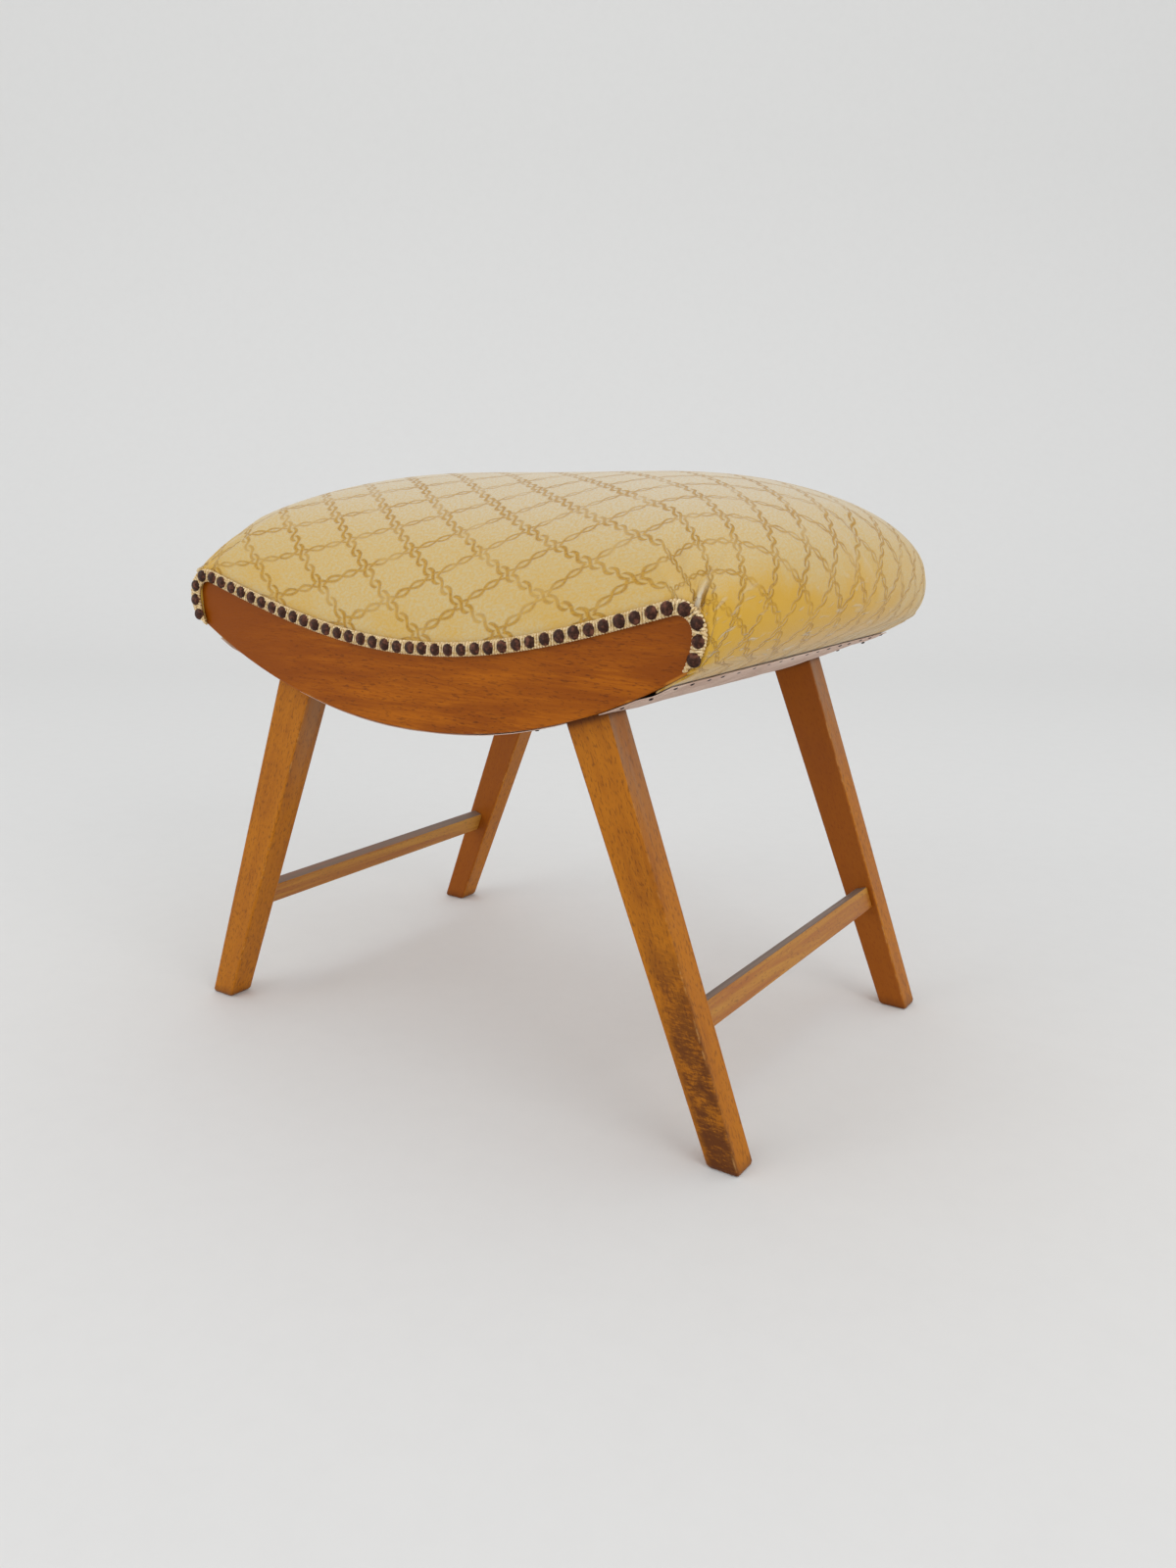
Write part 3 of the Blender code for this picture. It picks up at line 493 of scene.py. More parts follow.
def with_fold(half, turn_x, belly=0.0, bulge=0.0):
    """Carries a half line down the end, round a soft turn and in under the boards."""
    end_x, end_z = half[-1]
    turn_z = bottom_z(turn_x, VELVET_LOW_DROP)
    inside_x = turn_x - TURN_REACH
    bends = np.array(
        [
            (end_x, end_z),
            (end_x + belly, end_z - (end_z - turn_z) * FOLD_HEIGHT_SHARE),
            (turn_x + bulge, turn_z),
            (inside_x, bottom_z(inside_x, VELVET_LOW_DROP)),
        ]
    )
    for step in range(1, FOLD_STEPS + 1):
        share = step / FOLD_STEPS
        rest = 1 - share
        weights = np.array([rest**3, 3 * share * rest**2, 3 * share**2 * rest, share**3])
        half = half + [tuple(weights @ bends)]
    for step in range(1, FOLD_STEPS + 1):
        x = inside_x + (VELVET_FOLD_X - inside_x) * step / FOLD_STEPS
        half = half + [(x, bottom_z(x, VELVET_LOW_DROP))]
    return half


def both_halves(half):
    """A whole line, from its right half and the mirror of it."""
    return np.array([(-x, z) for x, z in reversed(half[1:])] + half)


def lengths_along(line):
    """How far along a line each of its points lies, from its middle."""
    walked = np.concatenate(([0.0], np.cumsum(np.linalg.norm(np.diff(line, axis=0), axis=1))))
    return walked - walked[-1] / 2


def on_line(line, line_lengths, length):
    """The point of a line that lies so far along it."""
    return np.array([np.interp(length, line_lengths, line[:, k]) for k in (0, 1)])


def crease(across, width):
    """A soft bump of height 1, which falls away at this width."""
    return np.exp(-((across / width) ** 2))


edge_line = both_halves(with_fold(edge_half(GIMP_WIDTH), VELVET_TURN_X))
foot_line = both_halves(with_fold(edge_half(GIMP_WIDTH - SKIRT_DEPTH), VELVET_TURN_X - SKIRT_TURN_IN))
ridge_line = both_halves(with_fold(ridge_half(), VELVET_TURN_X, CROWN_BELLY, CROWN_TURN_BULGE))
ridge_lengths = lengths_along(ridge_line)
turns = np.linspace(0, math.pi, 721)
middle_rise = WOOD_TOP_Z + CROWN_RISE - edge_line[len(edge_line) // 2][1]
depth_line = np.stack([-VELVET_FACE_Y * np.cos(turns), middle_rise * np.sin(turns)], axis=1)
depth_lengths = lengths_along(depth_line)
half_width = ridge_lengths[-1]
half_depth = depth_lengths[-1]
turn_length = half_width - (VELVET_TURN_X - TURN_REACH - VELVET_FOLD_X) - TURN_EASE_LEAD


def seat_point(length, depth):
    """Where the cloth's point, so far along and so far across, lies on the seat."""
    edge = on_line(edge_line, ridge_lengths, length)
    under = min(max((abs(length) - turn_length) / TURN_EASE, 0.0), 1.0)
    flat_y = depth / (half_depth + SKIRT_DEPTH) * UNDER_HALF_DEPTH
    if abs(depth) > half_depth:
        share = (abs(depth) - half_depth) / SKIRT_DEPTH * (1 - under)
        low = edge + (on_line(foot_line, ridge_lengths, length) - edge) * share
        low_y = math.copysign(VELVET_FACE_Y, depth)
        return Vector((low[0], low_y + (flat_y - low_y) * under, low[1]))
    turn = np.interp(depth, depth_lengths, turns)
    high = edge + (on_line(ridge_line, ridge_lengths, length) - edge) * math.sin(turn)
    high_y = -VELVET_FACE_Y * math.cos(turn)
    fuller = math.sin(turn) * (1 - under) * (high[0] / CROWN_END_X) ** 2
    up = FULLER_UP * fuller if high[0] > 0 else 0.0
    return Vector((high[0] + FULLER_OUT * fuller, high_y + (flat_y - high_y) * under, high[1] + up))


def add_grid(maker, columns, rows, width, depth):
    """Adds a flat grid of this size round the origin."""
    size = Matrix.Diagonal((width, depth, 1, 1))
    bmesh.ops.create_grid(maker, x_segments=columns, y_segments=rows, size=0.5, matrix=size)


def placed(name, mesh, finish, smooth=True):
    """Puts a mesh into the scene as an object with one finish, or none."""
    mesh.name = name
    mesh.polygons.foreach_set("use_smooth", [smooth] * len(mesh.polygons))
    mesh.materials.clear()
    if finish:
        mesh.materials.append(finish)
    made = bpy.data.objects.new(name, mesh)
    bpy.context.collection.objects.link(made)
    return made


def made_object(name, maker, finish=None, smooth=True):
    """Turns a bmesh into an object, and frees it."""
    mesh = bpy.data.meshes.new(name)
    maker.to_mesh(mesh)
    maker.free()
    return placed(name, mesh, finish, smooth)


pleat_length = ridge_lengths[len(edge_line) // 2 + TOP_STEPS + END_STEPS // 2]
lengths = np.linspace(-half_width, half_width, 801)
closeness = 1 + PLEAT_CLOSENESS * crease(np.abs(lengths) - pleat_length, PLEAT_CLOSE_REACH)
column_shares = np.concatenate(([0.0], np.cumsum((closeness[1:] + closeness[:-1]) / 2)))
column_shares /= column_shares[-1]

maker = bmesh.new()
cloth_uv = maker.loops.layers.uv.new("cloth")
whole_depth = 2 * (half_depth + SKIRT_DEPTH)
add_grid(maker, round(2 * half_width / CLOTH_SQUARE), round(whole_depth / CLOTH_SQUARE), 1, whole_depth)
held = []
for vert in maker.verts:
    vert.co.x = np.interp(vert.co.x + 0.5, column_shares, lengths)
for face in maker.faces:
    for loop in face.loops:
        loop[cloth_uv].uv = loop.vert.co.xy
for vert in maker.verts:
    length, depth = vert.co.xy
    if abs(depth) > half_depth - CLOTH_SQUARE or abs(length) > half_width - FOLD_UNDER_LENGTH:
        held.append(vert.index)
    vert.co = seat_point(length, depth)
bmesh.ops.recalc_face_normals(maker, faces=maker.faces)
if max(maker.faces, key=lambda face: face.calc_center_median().z).normal.z < 0:
    bmesh.ops.reverse_faces(maker, faces=maker.faces)
seat_cloth = made_object("seat_cloth", maker, smooth=False)


def evaluated(piece):
    """The piece as its modifiers leave it."""
    return piece.evaluated_get(bpy.context.evaluated_depsgraph_get())


def stuff(piece, held_points):
    """Lets the cloth swell over its stuffing in a short simulation, and keeps the result near its start."""
    start = np.array([vert.co for vert in piece.data.vertices])
    inward = np.array([vert.normal for vert in piece.data.vertices]) * SWELL_START
    free = np.ones(len(start), bool)
    free[held_points] = False
    start[free] -= inward[free]
    piece.data.vertices.foreach_set("co", start.ravel())
    group = piece.vertex_groups.new(name="nailed")
    group.add(held_points, 1.0, "REPLACE")
    swell = piece.modifiers.new("swell", "CLOTH")
    swell.settings.vertex_group_mass = "nailed"
    swell.settings.quality = 5
    swell.settings.tension_stiffness = 15
    swell.settings.compression_stiffness = 15
    swell.settings.bending_stiffness = 0.5
    swell.settings.use_pressure = True
    swell.settings.uniform_pressure_force = SWELL_PRESSURE
    swell.settings.effector_weights.gravity = 0
    swell.collision_settings.use_collision = False
    swell.point_cache.frame_start, swell.point_cache.frame_end = 1, SWELL_FRAMES
    for number in range(1, SWELL_FRAMES + 1):
        bpy.context.scene.frame_set(number)
    swollen = evaluated(piece).data
    moved = np.array([vert.co for vert in swollen.vertices]) - start
    far = np.linalg.norm(moved, axis=1, keepdims=True)
    moved *= np.minimum(1.0, SWELL_MOST / np.maximum(far, 1e-9))
    piece.modifiers.remove(swell)
    piece.data.vertices.foreach_set("co", (start + moved).ravel())
    piece.data.update()
    bpy.context.scene.frame_set(1)


stuff(seat_cloth, held)
soft = seat_cloth.modifiers.new("soft", "SUBSURF")
soft.levels = soft.render_levels = 1
stuffed_mesh = bpy.data.meshes.new_from_object(evaluated(seat_cloth))
bpy.data.objects.remove(seat_cloth)

maker = bmesh.new()
maker.from_mesh(stuffed_mesh)
bpy.data.meshes.remove(stuffed_mesh)
cloth_uv = maker.loops.layers.uv.active
cloth_places = {loop.vert: loop[cloth_uv].uv.copy() for face in maker.faces for loop in face.loops}
maker.normal_update()
normals = {vert: vert.normal.copy() for vert in maker.verts}
for vert, place in cloth_places.items():
    up = half_depth - abs(place.y)
    if not -PLEAT_FOOT < up < PLEAT_LENGTH:
        continue
    pleat_share = (1 - max(up, 0) / PLEAT_LENGTH) * min(1.0, (up + PLEAT_FOOT) / PLEAT_FOOT_EASE)
    across = (abs(place.x) - pleat_length) * min(1.0, EDGE_LENGTH_SHARE + EDGE_LENGTH_GROWTH * max(up, 0))
    across -= PLEAT_LEAN * up * math.copysign(1, place.y)
    lift = PLEAT_DEPTH * sum(share * crease(across - middle, width) for middle, share, width in PLEAT_CREASES)
    vert.co += normals[vert] * float(lift * pleat_share)
rim = [edge for edge in maker.edges if edge.is_boundary]
for ring, reach in [("hem", 1.0), ("wall", 1.0)] + [("under", share) for share in UNDER_SHARES]:
    grown = bmesh.ops.extrude_edge_only(maker, edges=rim)["geom"]
    rim = [item for item in grown if isinstance(item, bmesh.types.BMEdge) and item.is_boundary]
    for vert in {vert for edge in rim for vert in edge.verts}:
        x, y, z = vert.co
        if ring == "hem":
            y = math.copysign(min(abs(y), VELVET_FACE_Y - VELVET_THICKNESS), y)
            z += VELVET_THICKNESS
        elif ring == "wall" and z < bottom_z(x, -INNER_END_RISE):
            x = math.copysign(INNER_END_X, x)
            z = bottom_z(x)
        elif ring == "under":
            x, y = x * reach, y * reach
            z = wave_z(min(abs(x), touch_x)) + PAD_UNDER_RISE
        vert.co = (x, y, z)
last_ring = {vert for edge in rim for vert in edge.verts}
bmesh.ops.pointmerge(maker, verts=list(last_ring), merge_co=(0, 0, wave_z(0) + PAD_UNDER_RISE))
bmesh.ops.recalc_face_normals(maker, faces=maker.faces)

VELVET_GROUND = (0.57, 0.45, 0.235)
VELVET_SHEEN_PALE = (0.62, 0.61, 0.54)
VELVET_SHADE = (0.60, 0.35, 0.048)
VELVET_LINK = (0.36, 0.17, 0.015)
HALF_DIAMOND_WIDTH = 0.0275
HALF_DIAMOND_DEPTH = 0.0215
DIAMOND_START = 0.0317
DIAMOND_DEPTH_START = -0.170
LATTICE_SHAKE = 0.003
LINKS_A_SIDE = 3
BOLD_SWING = 0.0025
BOLD_STROKE = 0.00125
BOLD_COVER = 0.72
FINE_SWING = 0.0024
FINE_STROKE = 0.0012
FINE_COVER = 0.97
VELVET_RELIEF = 0.0007
SEAT_ENDS_X = (0.17, 0.245)
GOLD_Z = (0.345, 0.405)
GOLD_Y = (-0.10, 0.17)
PAINTED_SHEEN_Z = (0.385, 0.445)
PLEAT_HIGHLIGHT_WIDTH = (0.0005, 0.0032)
PLEAT_HIGHLIGHT_LENGTH = (0.010, 0.050)
EDGE_BAND = (0.005, 0.045)

velvet_finish, tree, shader = new_finish("trellis_velvet")
on_cloth = node(tree, "UVMap", uv_map="cloth").outputs[0]
ripple = node(tree, "TexNoise", on_cloth)
ripple.inputs["Scale"].default_value = 60.0
shake = (LATTICE_SHAKE, LATTICE_SHAKE, 0.0)
shaken = node(tree, "VectorMath", ripple.outputs["Color"], (0.5, 0.5, 0.5), operation="SUBTRACT").outputs[0]
shaken = node(tree, "VectorMath", shaken, shake, on_cloth, operation="MULTIPLY_ADD").outputs[0]
where = node(tree, "SeparateXYZ", shaken)
right = maths(tree, "SUBTRACT", where.outputs[0], DIAMOND_START)
right = maths(tree, "DIVIDE", right, 2 * HALF_DIAMOND_WIDTH)
away = maths(tree, "SUBTRACT", where.outputs[1], DIAMOND_DEPTH_START)
away = maths(tree, "DIVIDE", away, 2 * HALF_DIAMOND_DEPTH)
side_length = math.hypot(HALF_DIAMOND_WIDTH, HALF_DIAMOND_DEPTH)
row_gap = 2 * HALF_DIAMOND_WIDTH * HALF_DIAMOND_DEPTH / side_length
falling = maths(tree, "ADD", right, away)
rising = maths(tree, "SUBTRACT", right, away)


def chain(tree, across, along, swing, stroke, cover):
    """A chain of two strands that wind round each other. Each is hidden where it passes under the other."""
    off = maths(tree, "MULTIPLY", maths(tree, "SUBTRACT", across, maths(tree, "ROUND", across)), row_gap)
    turn = maths(tree, "MULTIPLY", along, math.pi * LINKS_A_SIDE)
    winding = maths(tree, "MULTIPLY", maths(tree, "SINE", turn), swing)
    above = maths(tree, "COSINE", turn)
    strands = []
    for sign in (1.0, -1.0):
        from_strand = maths(tree, "ABSOLUTE", maths(tree, "MULTIPLY_ADD", winding, -sign, off))
        line = spread(tree, from_strand, stroke * 0.4, stroke * 1.45, 1.0, 0.0)
        hidden = spread(tree, maths(tree, "MULTIPLY", above, sign), cover, cover + 0.2, 1.0, 0.0)
        strands.append(maths(tree, "MULTIPLY", line, hidden))
    return maths(tree, "MAXIMUM", *strands)


bold = chain(tree, falling, rising, BOLD_SWING, BOLD_STROKE, BOLD_COVER)
half_link_on = maths(tree, "ADD", falling, 0.5 / LINKS_A_SIDE)
fine = chain(tree, rising, half_link_on, FINE_SWING, FINE_STROKE, FINE_COVER)
near = maths(tree, "ABSOLUTE", maths(tree, "SUBTRACT", falling, maths(tree, "ROUND", falling)))
fine = maths(tree, "MULTIPLY", fine, spread(tree, near, 0.03, 0.08))
links_share = maths(tree, "MAXIMUM", bold, maths(tree, "MULTIPLY", fine, 0.9))
links_worn = spread(tree, noise(tree, on_cloth, 35.0, 3.0, 0.6), 0.3, 0.6, 0.45, 1.0)
links_share = maths(tree, "MULTIPLY", links_share, links_worn)
pile = noise(tree, on_cloth, 480.0, 4.0, 0.85)
crush = noise(tree, on_cloth, 13.0, 5.0, 0.65)
on_seat = node(tree, "SeparateXYZ", place_on_object(tree))
at_end = spread(tree, maths(tree, "ABSOLUTE", on_seat.outputs[0]), *SEAT_ENDS_X)
low_down = maths(tree, "MULTIPLY", at_end, spread(tree, on_seat.outputs[2], *GOLD_Z, 1.0, 0.0))
low_front = maths(tree, "MULTIPLY", low_down, spread(tree, on_seat.outputs[1], *GOLD_Y, 1.0, 0.25))
golden = maths(tree, "MULTIPLY", low_front, spread(tree, crush, 0.3, 0.6, 0.7, 1.3))
gold_share = maths(tree, "MULTIPLY_ADD", spread(tree, crush, 0.35, 0.75), 0.32, golden)
crinkle = noise(tree, stretched(tree, shaken, (190, 45, 1), (0, 0, 0.9)), 1.0, 1.0, 0.5, 0.6)
crinkle = maths(tree, "MULTIPLY", spread(tree, crinkle, 0.60, 0.74), low_front)
colour = mixed(tree, spread(tree, gold_share, 0.05, 0.95), VELVET_GROUND, VELVET_SHADE)
# Painted sheen: the seat is paled towards its top, in place of the whitening of the pile seen at a grazing
# angle.
colour = mixed(tree, spread(tree, on_seat.outputs[2], *PAINTED_SHEEN_Z, 0.0, 0.6), colour, VELVET_SHEEN_PALE)
along, across = node(tree, "SeparateXYZ", on_cloth).outputs[:2]
from_edge = maths(tree, "SUBTRACT", half_depth, maths(tree, "ABSOLUTE", across))
off_pleat = maths(tree, "SUBTRACT", maths(tree, "ABSOLUTE", along), pleat_length)
real_share = maths(tree, "MULTIPLY_ADD", from_edge, EDGE_LENGTH_GROWTH, EDGE_LENGTH_SHARE)
off_pleat = maths(tree, "MULTIPLY", maths(tree, "ABSOLUTE", off_pleat), real_share)
# Painted highlight: a pale stroke along each corner pleat, strongest near the nailed edge.
wear_and_pleat_highlight = spread(tree, off_pleat, *PLEAT_HIGHLIGHT_WIDTH, 0.55, 0.0)
wear_and_pleat_highlight = maths(tree, "MULTIPLY", wear_and_pleat_highlight, spread(tree, from_edge, *PLEAT_HIGHLIGHT_LENGTH, 1.0, 0.0))
# Darker and more golden in a patchy band just above the nailed edge.
edge_band = spread(tree, from_edge, *EDGE_BAND, 0.45, 0.0)
edge_band = maths(tree, "MULTIPLY", edge_band, spread(tree, crush, 0.42, 0.6))
colour = mixed(tree, edge_band, colour, VELVET_SHADE)
colour = mixed(tree, maths(tree, "MULTIPLY", links_share, 0.9), colour, VELVET_LINK)
colour = mixed(tree, spread(tree, pile, 0.42, 0.58, 0.6, 0.0), colour, VELVET_SHADE)
# Painted highlight: the crinkle strokes are paled.
colour = mixed(tree, maths(tree, "MULTIPLY", crinkle, 0.4), colour, VELVET_SHEEN_PALE)
colour = mixed(tree, wear_and_pleat_highlight, colour, VELVET_SHEEN_PALE)
tree.links.new(colour, shader.inputs["Base Color"])
shader.inputs["Roughness"].default_value = 0.9
shader.inputs["Specular IOR Level"].default_value = 0.1
shader.inputs["Sheen Weight"].default_value = 0.4
shader.inputs["Sheen Roughness"].default_value = 0.35
shader.inputs["Sheen Tint"].default_value = (0.95, 0.97, 1.0, 1.0)
link_depth = maths(tree, "MULTIPLY", links_share, 0.8)
height = maths(tree, "SUBTRACT", maths(tree, "MULTIPLY", pile, 0.3), link_depth)
relief(tree, shader, maths(tree, "ADD", height, crinkle), VELVET_RELIEF)
cushion = made_object("seat_cushion", maker, velvet_finish)
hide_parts("velvet_cover", "seat_pad")
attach(cushion, "root")


# Gimp braid
# A cream-gold scroll gimp glued along the velvet's edge on both faces. Two cords wind from edge to edge over
# a woven base, so that both edges are looped.

GIMP_BACK_Y = 0.1879
GIMP_BASE = 0.0008
GIMP_CORD = 0.0019
GIMP_PITCH = 0.0046
GIMP_FOOT_DROP = 0.0015
GIMP_CURL = 0.006
GIMP_FOOT_STEPS = 6
GIMP_RELIEF = 0.0003
CORD_STEPS_A_LOOP = 12
CORD_FULLNESS = 0.15
CORD_SEAT_SHARE = 0.35
CORD_RISE_SHARE = 0.25
GIMP_CREAM = (0.86, 0.68, 0.40)
GIMP_GOLD = (0.50, 0.31, 0.10)
GIMP_SHADE = (0.20, 0.095, 0.02)


def with_foot(half):
    """Carries a half line down the board's end, curling inwards, to just below its lower edge."""
    end_x, end_z = half[-1]
    foot_z = bottom_z(end_x, GIMP_FOOT_DROP)
    shares = [step / GIMP_FOOT_STEPS for step in range(1, GIMP_FOOT_STEPS + 1)]
    return half + [(end_x - GIMP_CURL * share**2, end_z + (foot_z - end_z) * share) for share in shares]


gimp_line = both_halves(with_foot(edge_half(GIMP_WIDTH / 2)))
gimp_out = both_halves(with_foot(edge_half(GIMP_WIDTH)))
gimp_lengths = lengths_along(gimp_line)


def gimp_point(length, across):
    """A point on the board's face, so far along the gimp and so far outwards from its middle."""
    spine = on_line(gimp_line, gimp_lengths, length)
    outer = on_line(gimp_out, gimp_lengths, length)
    return spine + (outer - spine) * across / (GIMP_WIDTH / 2)


gimp_finish, tree, shader = new_finish("cream_gimp")
twine = noise(tree, place_on_object(tree), 700.0, 3.0, 0.6)
patch = noise(tree, place_on_object(tree), 60.0, 2.0, 0.5)
colour = mixed(tree, spread(tree, twine, 0.35, 0.65), GIMP_GOLD, GIMP_CREAM)
colour = mixed(tree, spread(tree, patch, 0.45, 0.75, 0.0, 0.25), colour, GIMP_GOLD)
tree.links.new(colour, shader.inputs["Base Color"])
shader.inputs["Roughness"].default_value = 0.7
shader.inputs["Sheen Weight"].default_value = 0.2
relief(tree, shader, twine, GIMP_RELIEF)
base_finish, tree, shader = new_finish("gimp_base")
twine = noise(tree, place_on_object(tree), 900.0, 3.0, 0.6)
tree.links.new(mixed(tree, spread(tree, twine, 0.4, 0.7), GIMP_SHADE, GIMP_GOLD), shader.inputs["Base Color"])
shader.inputs["Roughness"].default_value = 0.85
relief(tree, shader, twine, GIMP_RELIEF)

gimp_length = 2 * gimp_lengths[-1]
swing = (GIMP_WIDTH - GIMP_CORD) / 2
cord_steps = round(gimp_length / GIMP_PITCH * CORD_STEPS_A_LOOP)
for face_name, sign in (("front", -1), ("back", 1)):
    maker = bmesh.new()
    add_grid(maker, 240, 4, gimp_length, 2 * swing)
    for vert in maker.verts:
        x, z = gimp_point(vert.co.x, vert.co.y)
        vert.co = (x, sign * GIMP_BACK_Y, z)
    grown = bmesh.ops.extrude_face_region(maker, geom=maker.faces[:])["geom"]
    raised = [item for item in grown if isinstance(item, bmesh.types.BMVert)]
    bmesh.ops.translate(maker, vec=(0, sign * GIMP_BASE, 0), verts=raised)
    bmesh.ops.recalc_face_normals(maker, faces=maker.faces)
    base = made_object(face_name + "_gimp_base", maker, base_finish, smooth=False)
    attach(base, "root")

    cords = bpy.data.curves.new(face_name + "_gimp_cords", "CURVE")
    cords.dimensions = "3D"
    cords.bevel_depth = GIMP_CORD / 2
    cords.bevel_resolution = 1
    cords.use_fill_caps = True
    for start in (0.0, 0.5):
        spline = cords.splines.new("POLY")
        spline.points.add(cord_steps)
        for step, point in enumerate(spline.points):
            length = -gimp_length / 2 + gimp_length * step / cord_steps
            phase = 2 * math.pi * (length / GIMP_PITCH + start)
            wave = math.sin(phase)
            x, z = gimp_point(length, swing * wave * (1 + CORD_FULLNESS - CORD_FULLNESS * wave**2))
            lift = GIMP_BASE + GIMP_CORD * (CORD_SEAT_SHARE + CORD_RISE_SHARE * math.cos(phase))
            point.co = (x, sign * (GIMP_BACK_Y + lift), z, 1)
    wound = bpy.data.objects.new("winding", cords)
    bpy.context.collection.objects.link(wound)
    bpy.context.view_layer.update()
    cord_mesh = bpy.data.meshes.new_from_object(evaluated(wound))
    bpy.data.objects.remove(wound)
    braid = placed(face_name + "_gimp_braid", cord_mesh, gimp_finish)
    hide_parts(face_name + "_gimp_with_nails")
    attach(braid, "root")


# Upholstery nails
# A close row of domed, hammered nails with a dark bronze finish, driven through the middle of each gimp. They
# are set by hand, so no two sit quite alike.

NAIL_DIAMETER = 0.0090
NAIL_RISE = 0.0027
NAIL_PITCH = 0.0114
NAIL_STRAY = 0.0003
NAIL_SIZE_STRAY = 0.04
NAIL_LEAN = 0.06
NAIL_SKIRT_SHARE = 0.25
NAIL_RELIEF = 0.0005
GIMP_FACE_Y = 0.1900
NAIL_BROWN = (0.026, 0.008, 0.005)
NAIL_RUBBED = (0.14, 0.048, 0.028)

nail_finish, tree, shader = new_finish("bronzed_nail")
rubbing = noise(tree, place_on_object(tree), 260.0, 3.0, 0.6)
dint = noise(tree, place_on_object(tree), 620.0, 2.0, 0.5)
colour = mixed(tree, spread(tree, rubbing, 0.45, 0.7), NAIL_BROWN, NAIL_RUBBED)
tree.links.new(colour, shader.inputs["Base Color"])
tree.links.new(spread(tree, rubbing, 0.3, 0.7, 0.25, 0.45), shader.inputs["Roughness"])
shader.inputs["Specular IOR Level"].default_value = 0.25
shader.inputs["Specular Tint"].default_value = (1.0, 0.75, 0.6, 1.0)
relief(tree, shader, dint, NAIL_RELIEF)
nail_count = int(gimp_length / NAIL_PITCH)


def stray(most):
    """A small random error, either way."""
    return random.uniform(-most, most)


for face_name, sign in (("front", -1), ("back", 1)):
    maker = bmesh.new()
    for number in range(nail_count):
        middle = (number + 0.5) * gimp_length / nail_count - gimp_length / 2
        x, z = gimp_point(middle + stray(NAIL_STRAY), stray(NAIL_STRAY))
        size = NAIL_DIAMETER / 2 * (1 + stray(NAIL_SIZE_STRAY))
        head = bmesh.ops.create_uvsphere(maker, u_segments=18, v_segments=12, radius=1)["verts"]
        low = [vert for vert in head if vert.co.z < -0.01]
        for vert in low:
            vert.co.z = -NAIL_SKIRT_SHARE
            vert.co.xy = vert.co.xy.normalized() if vert.co.xy.length > 0.9 else vert.co.xy
        lean = Matrix.Rotation(stray(NAIL_LEAN), 4, "X") @ Matrix.Rotation(stray(NAIL_LEAN), 4, "Y")
        stand = Matrix.Translation((x, sign * GIMP_FACE_Y, z)) @ Matrix.Rotation(-sign * math.pi / 2, 4, "X")
        shape = stand @ lean @ Matrix.Diagonal((size, size, NAIL_RISE, 1))
        bmesh.ops.transform(maker, matrix=shape, verts=head)
    bmesh.ops.recalc_face_normals(maker, faces=maker.faces)
    nails = made_object(face_name + "_nail_heads", maker, nail_finish)
    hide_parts(face_name + "_gimp_with_nails")
    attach(nails, "root")


# Dust cloth
# A thin pinkish-beige cambric stretched under the seat and tacked up to the boards. It laps over the velvet's
# folds at both ends and is cut round the legs. It is a little slack, so it ripples.

CLOTH_END_X = 0.203
CLOTH_EDGE_Y = 0.1835
CLOTH_SLACK = 0.0014
CLOTH_DROP = 0.0006
CLOTH_RELIEF = 0.0001
LAP_LENGTH = 0.026
LAP_EASE = 0.012
LAP_DROP = 0.0020
NAILED_REACH = 0.020
BROAD_RIPPLE_X = 16
BROAD_RIPPLE_Y = 9
FINE_RIPPLE = 60
FINE_RIPPLE_SHARE = 0.4
WEAVE_TURNS = 9000.0
NOTCH_INNER_X = 0.1172
NOTCH_OUTER_X = 0.1515
NOTCH_Y = 0.1481
CLOTH_THICKNESS = 0.0006
CLOTH_PINK = (0.76, 0.58, 0.48)
CLOTH_SHADE = (0.60, 0.42, 0.33)

dust_finish, tree, shader = new_finish("pink_cambric")
where = node(tree, "SeparateXYZ", place_on_object(tree))
warp = maths(tree, "SINE", maths(tree, "MULTIPLY", where.outputs[0], WEAVE_TURNS))
weft = maths(tree, "SINE", maths(tree, "MULTIPLY", where.outputs[1], WEAVE_TURNS))
stain = noise(tree, place_on_object(tree), 18.0, 4.0, 0.6)
colour = mixed(tree, spread(tree, stain, 0.35, 0.7), CLOTH_PINK, CLOTH_SHADE)
tree.links.new(colour, shader.inputs["Base Color"])
shader.inputs["Roughness"].default_value = 0.9
relief(tree, shader, maths(tree, "MULTIPLY", warp, weft), CLOTH_RELIEF)

arc_half = BOTTOM_RADIUS * math.asin(CLOTH_END_X / BOTTOM_RADIUS)
notch_low, notch_high = (BOTTOM_RADIUS * math.asin(x / BOTTOM_RADIUS) for x in (NOTCH_INNER_X, NOTCH_OUTER_X))
maker = bmesh.new()
add_grid(maker, 110, 88, 2 * arc_half, 2 * CLOTH_EDGE_Y)
for sign in (1, -1):
    for place in ((notch_low, 0, 0), (notch_high, 0, 0), (0, NOTCH_Y, 0)):
        whole = maker.verts[:] + maker.edges[:] + maker.faces[:]
        bmesh.ops.bisect_plane(
            maker, geom=whole, dist=1e-6, plane_co=Vector(place) * sign, plane_no=Vector(place).normalized()
        )
cut = []
for face in maker.faces:
    middle = face.calc_center_median()
    if notch_low < abs(middle.x) < notch_high and abs(middle.y) > NOTCH_Y:
        cut.append(face)
bmesh.ops.delete(maker, geom=cut, context="FACES")
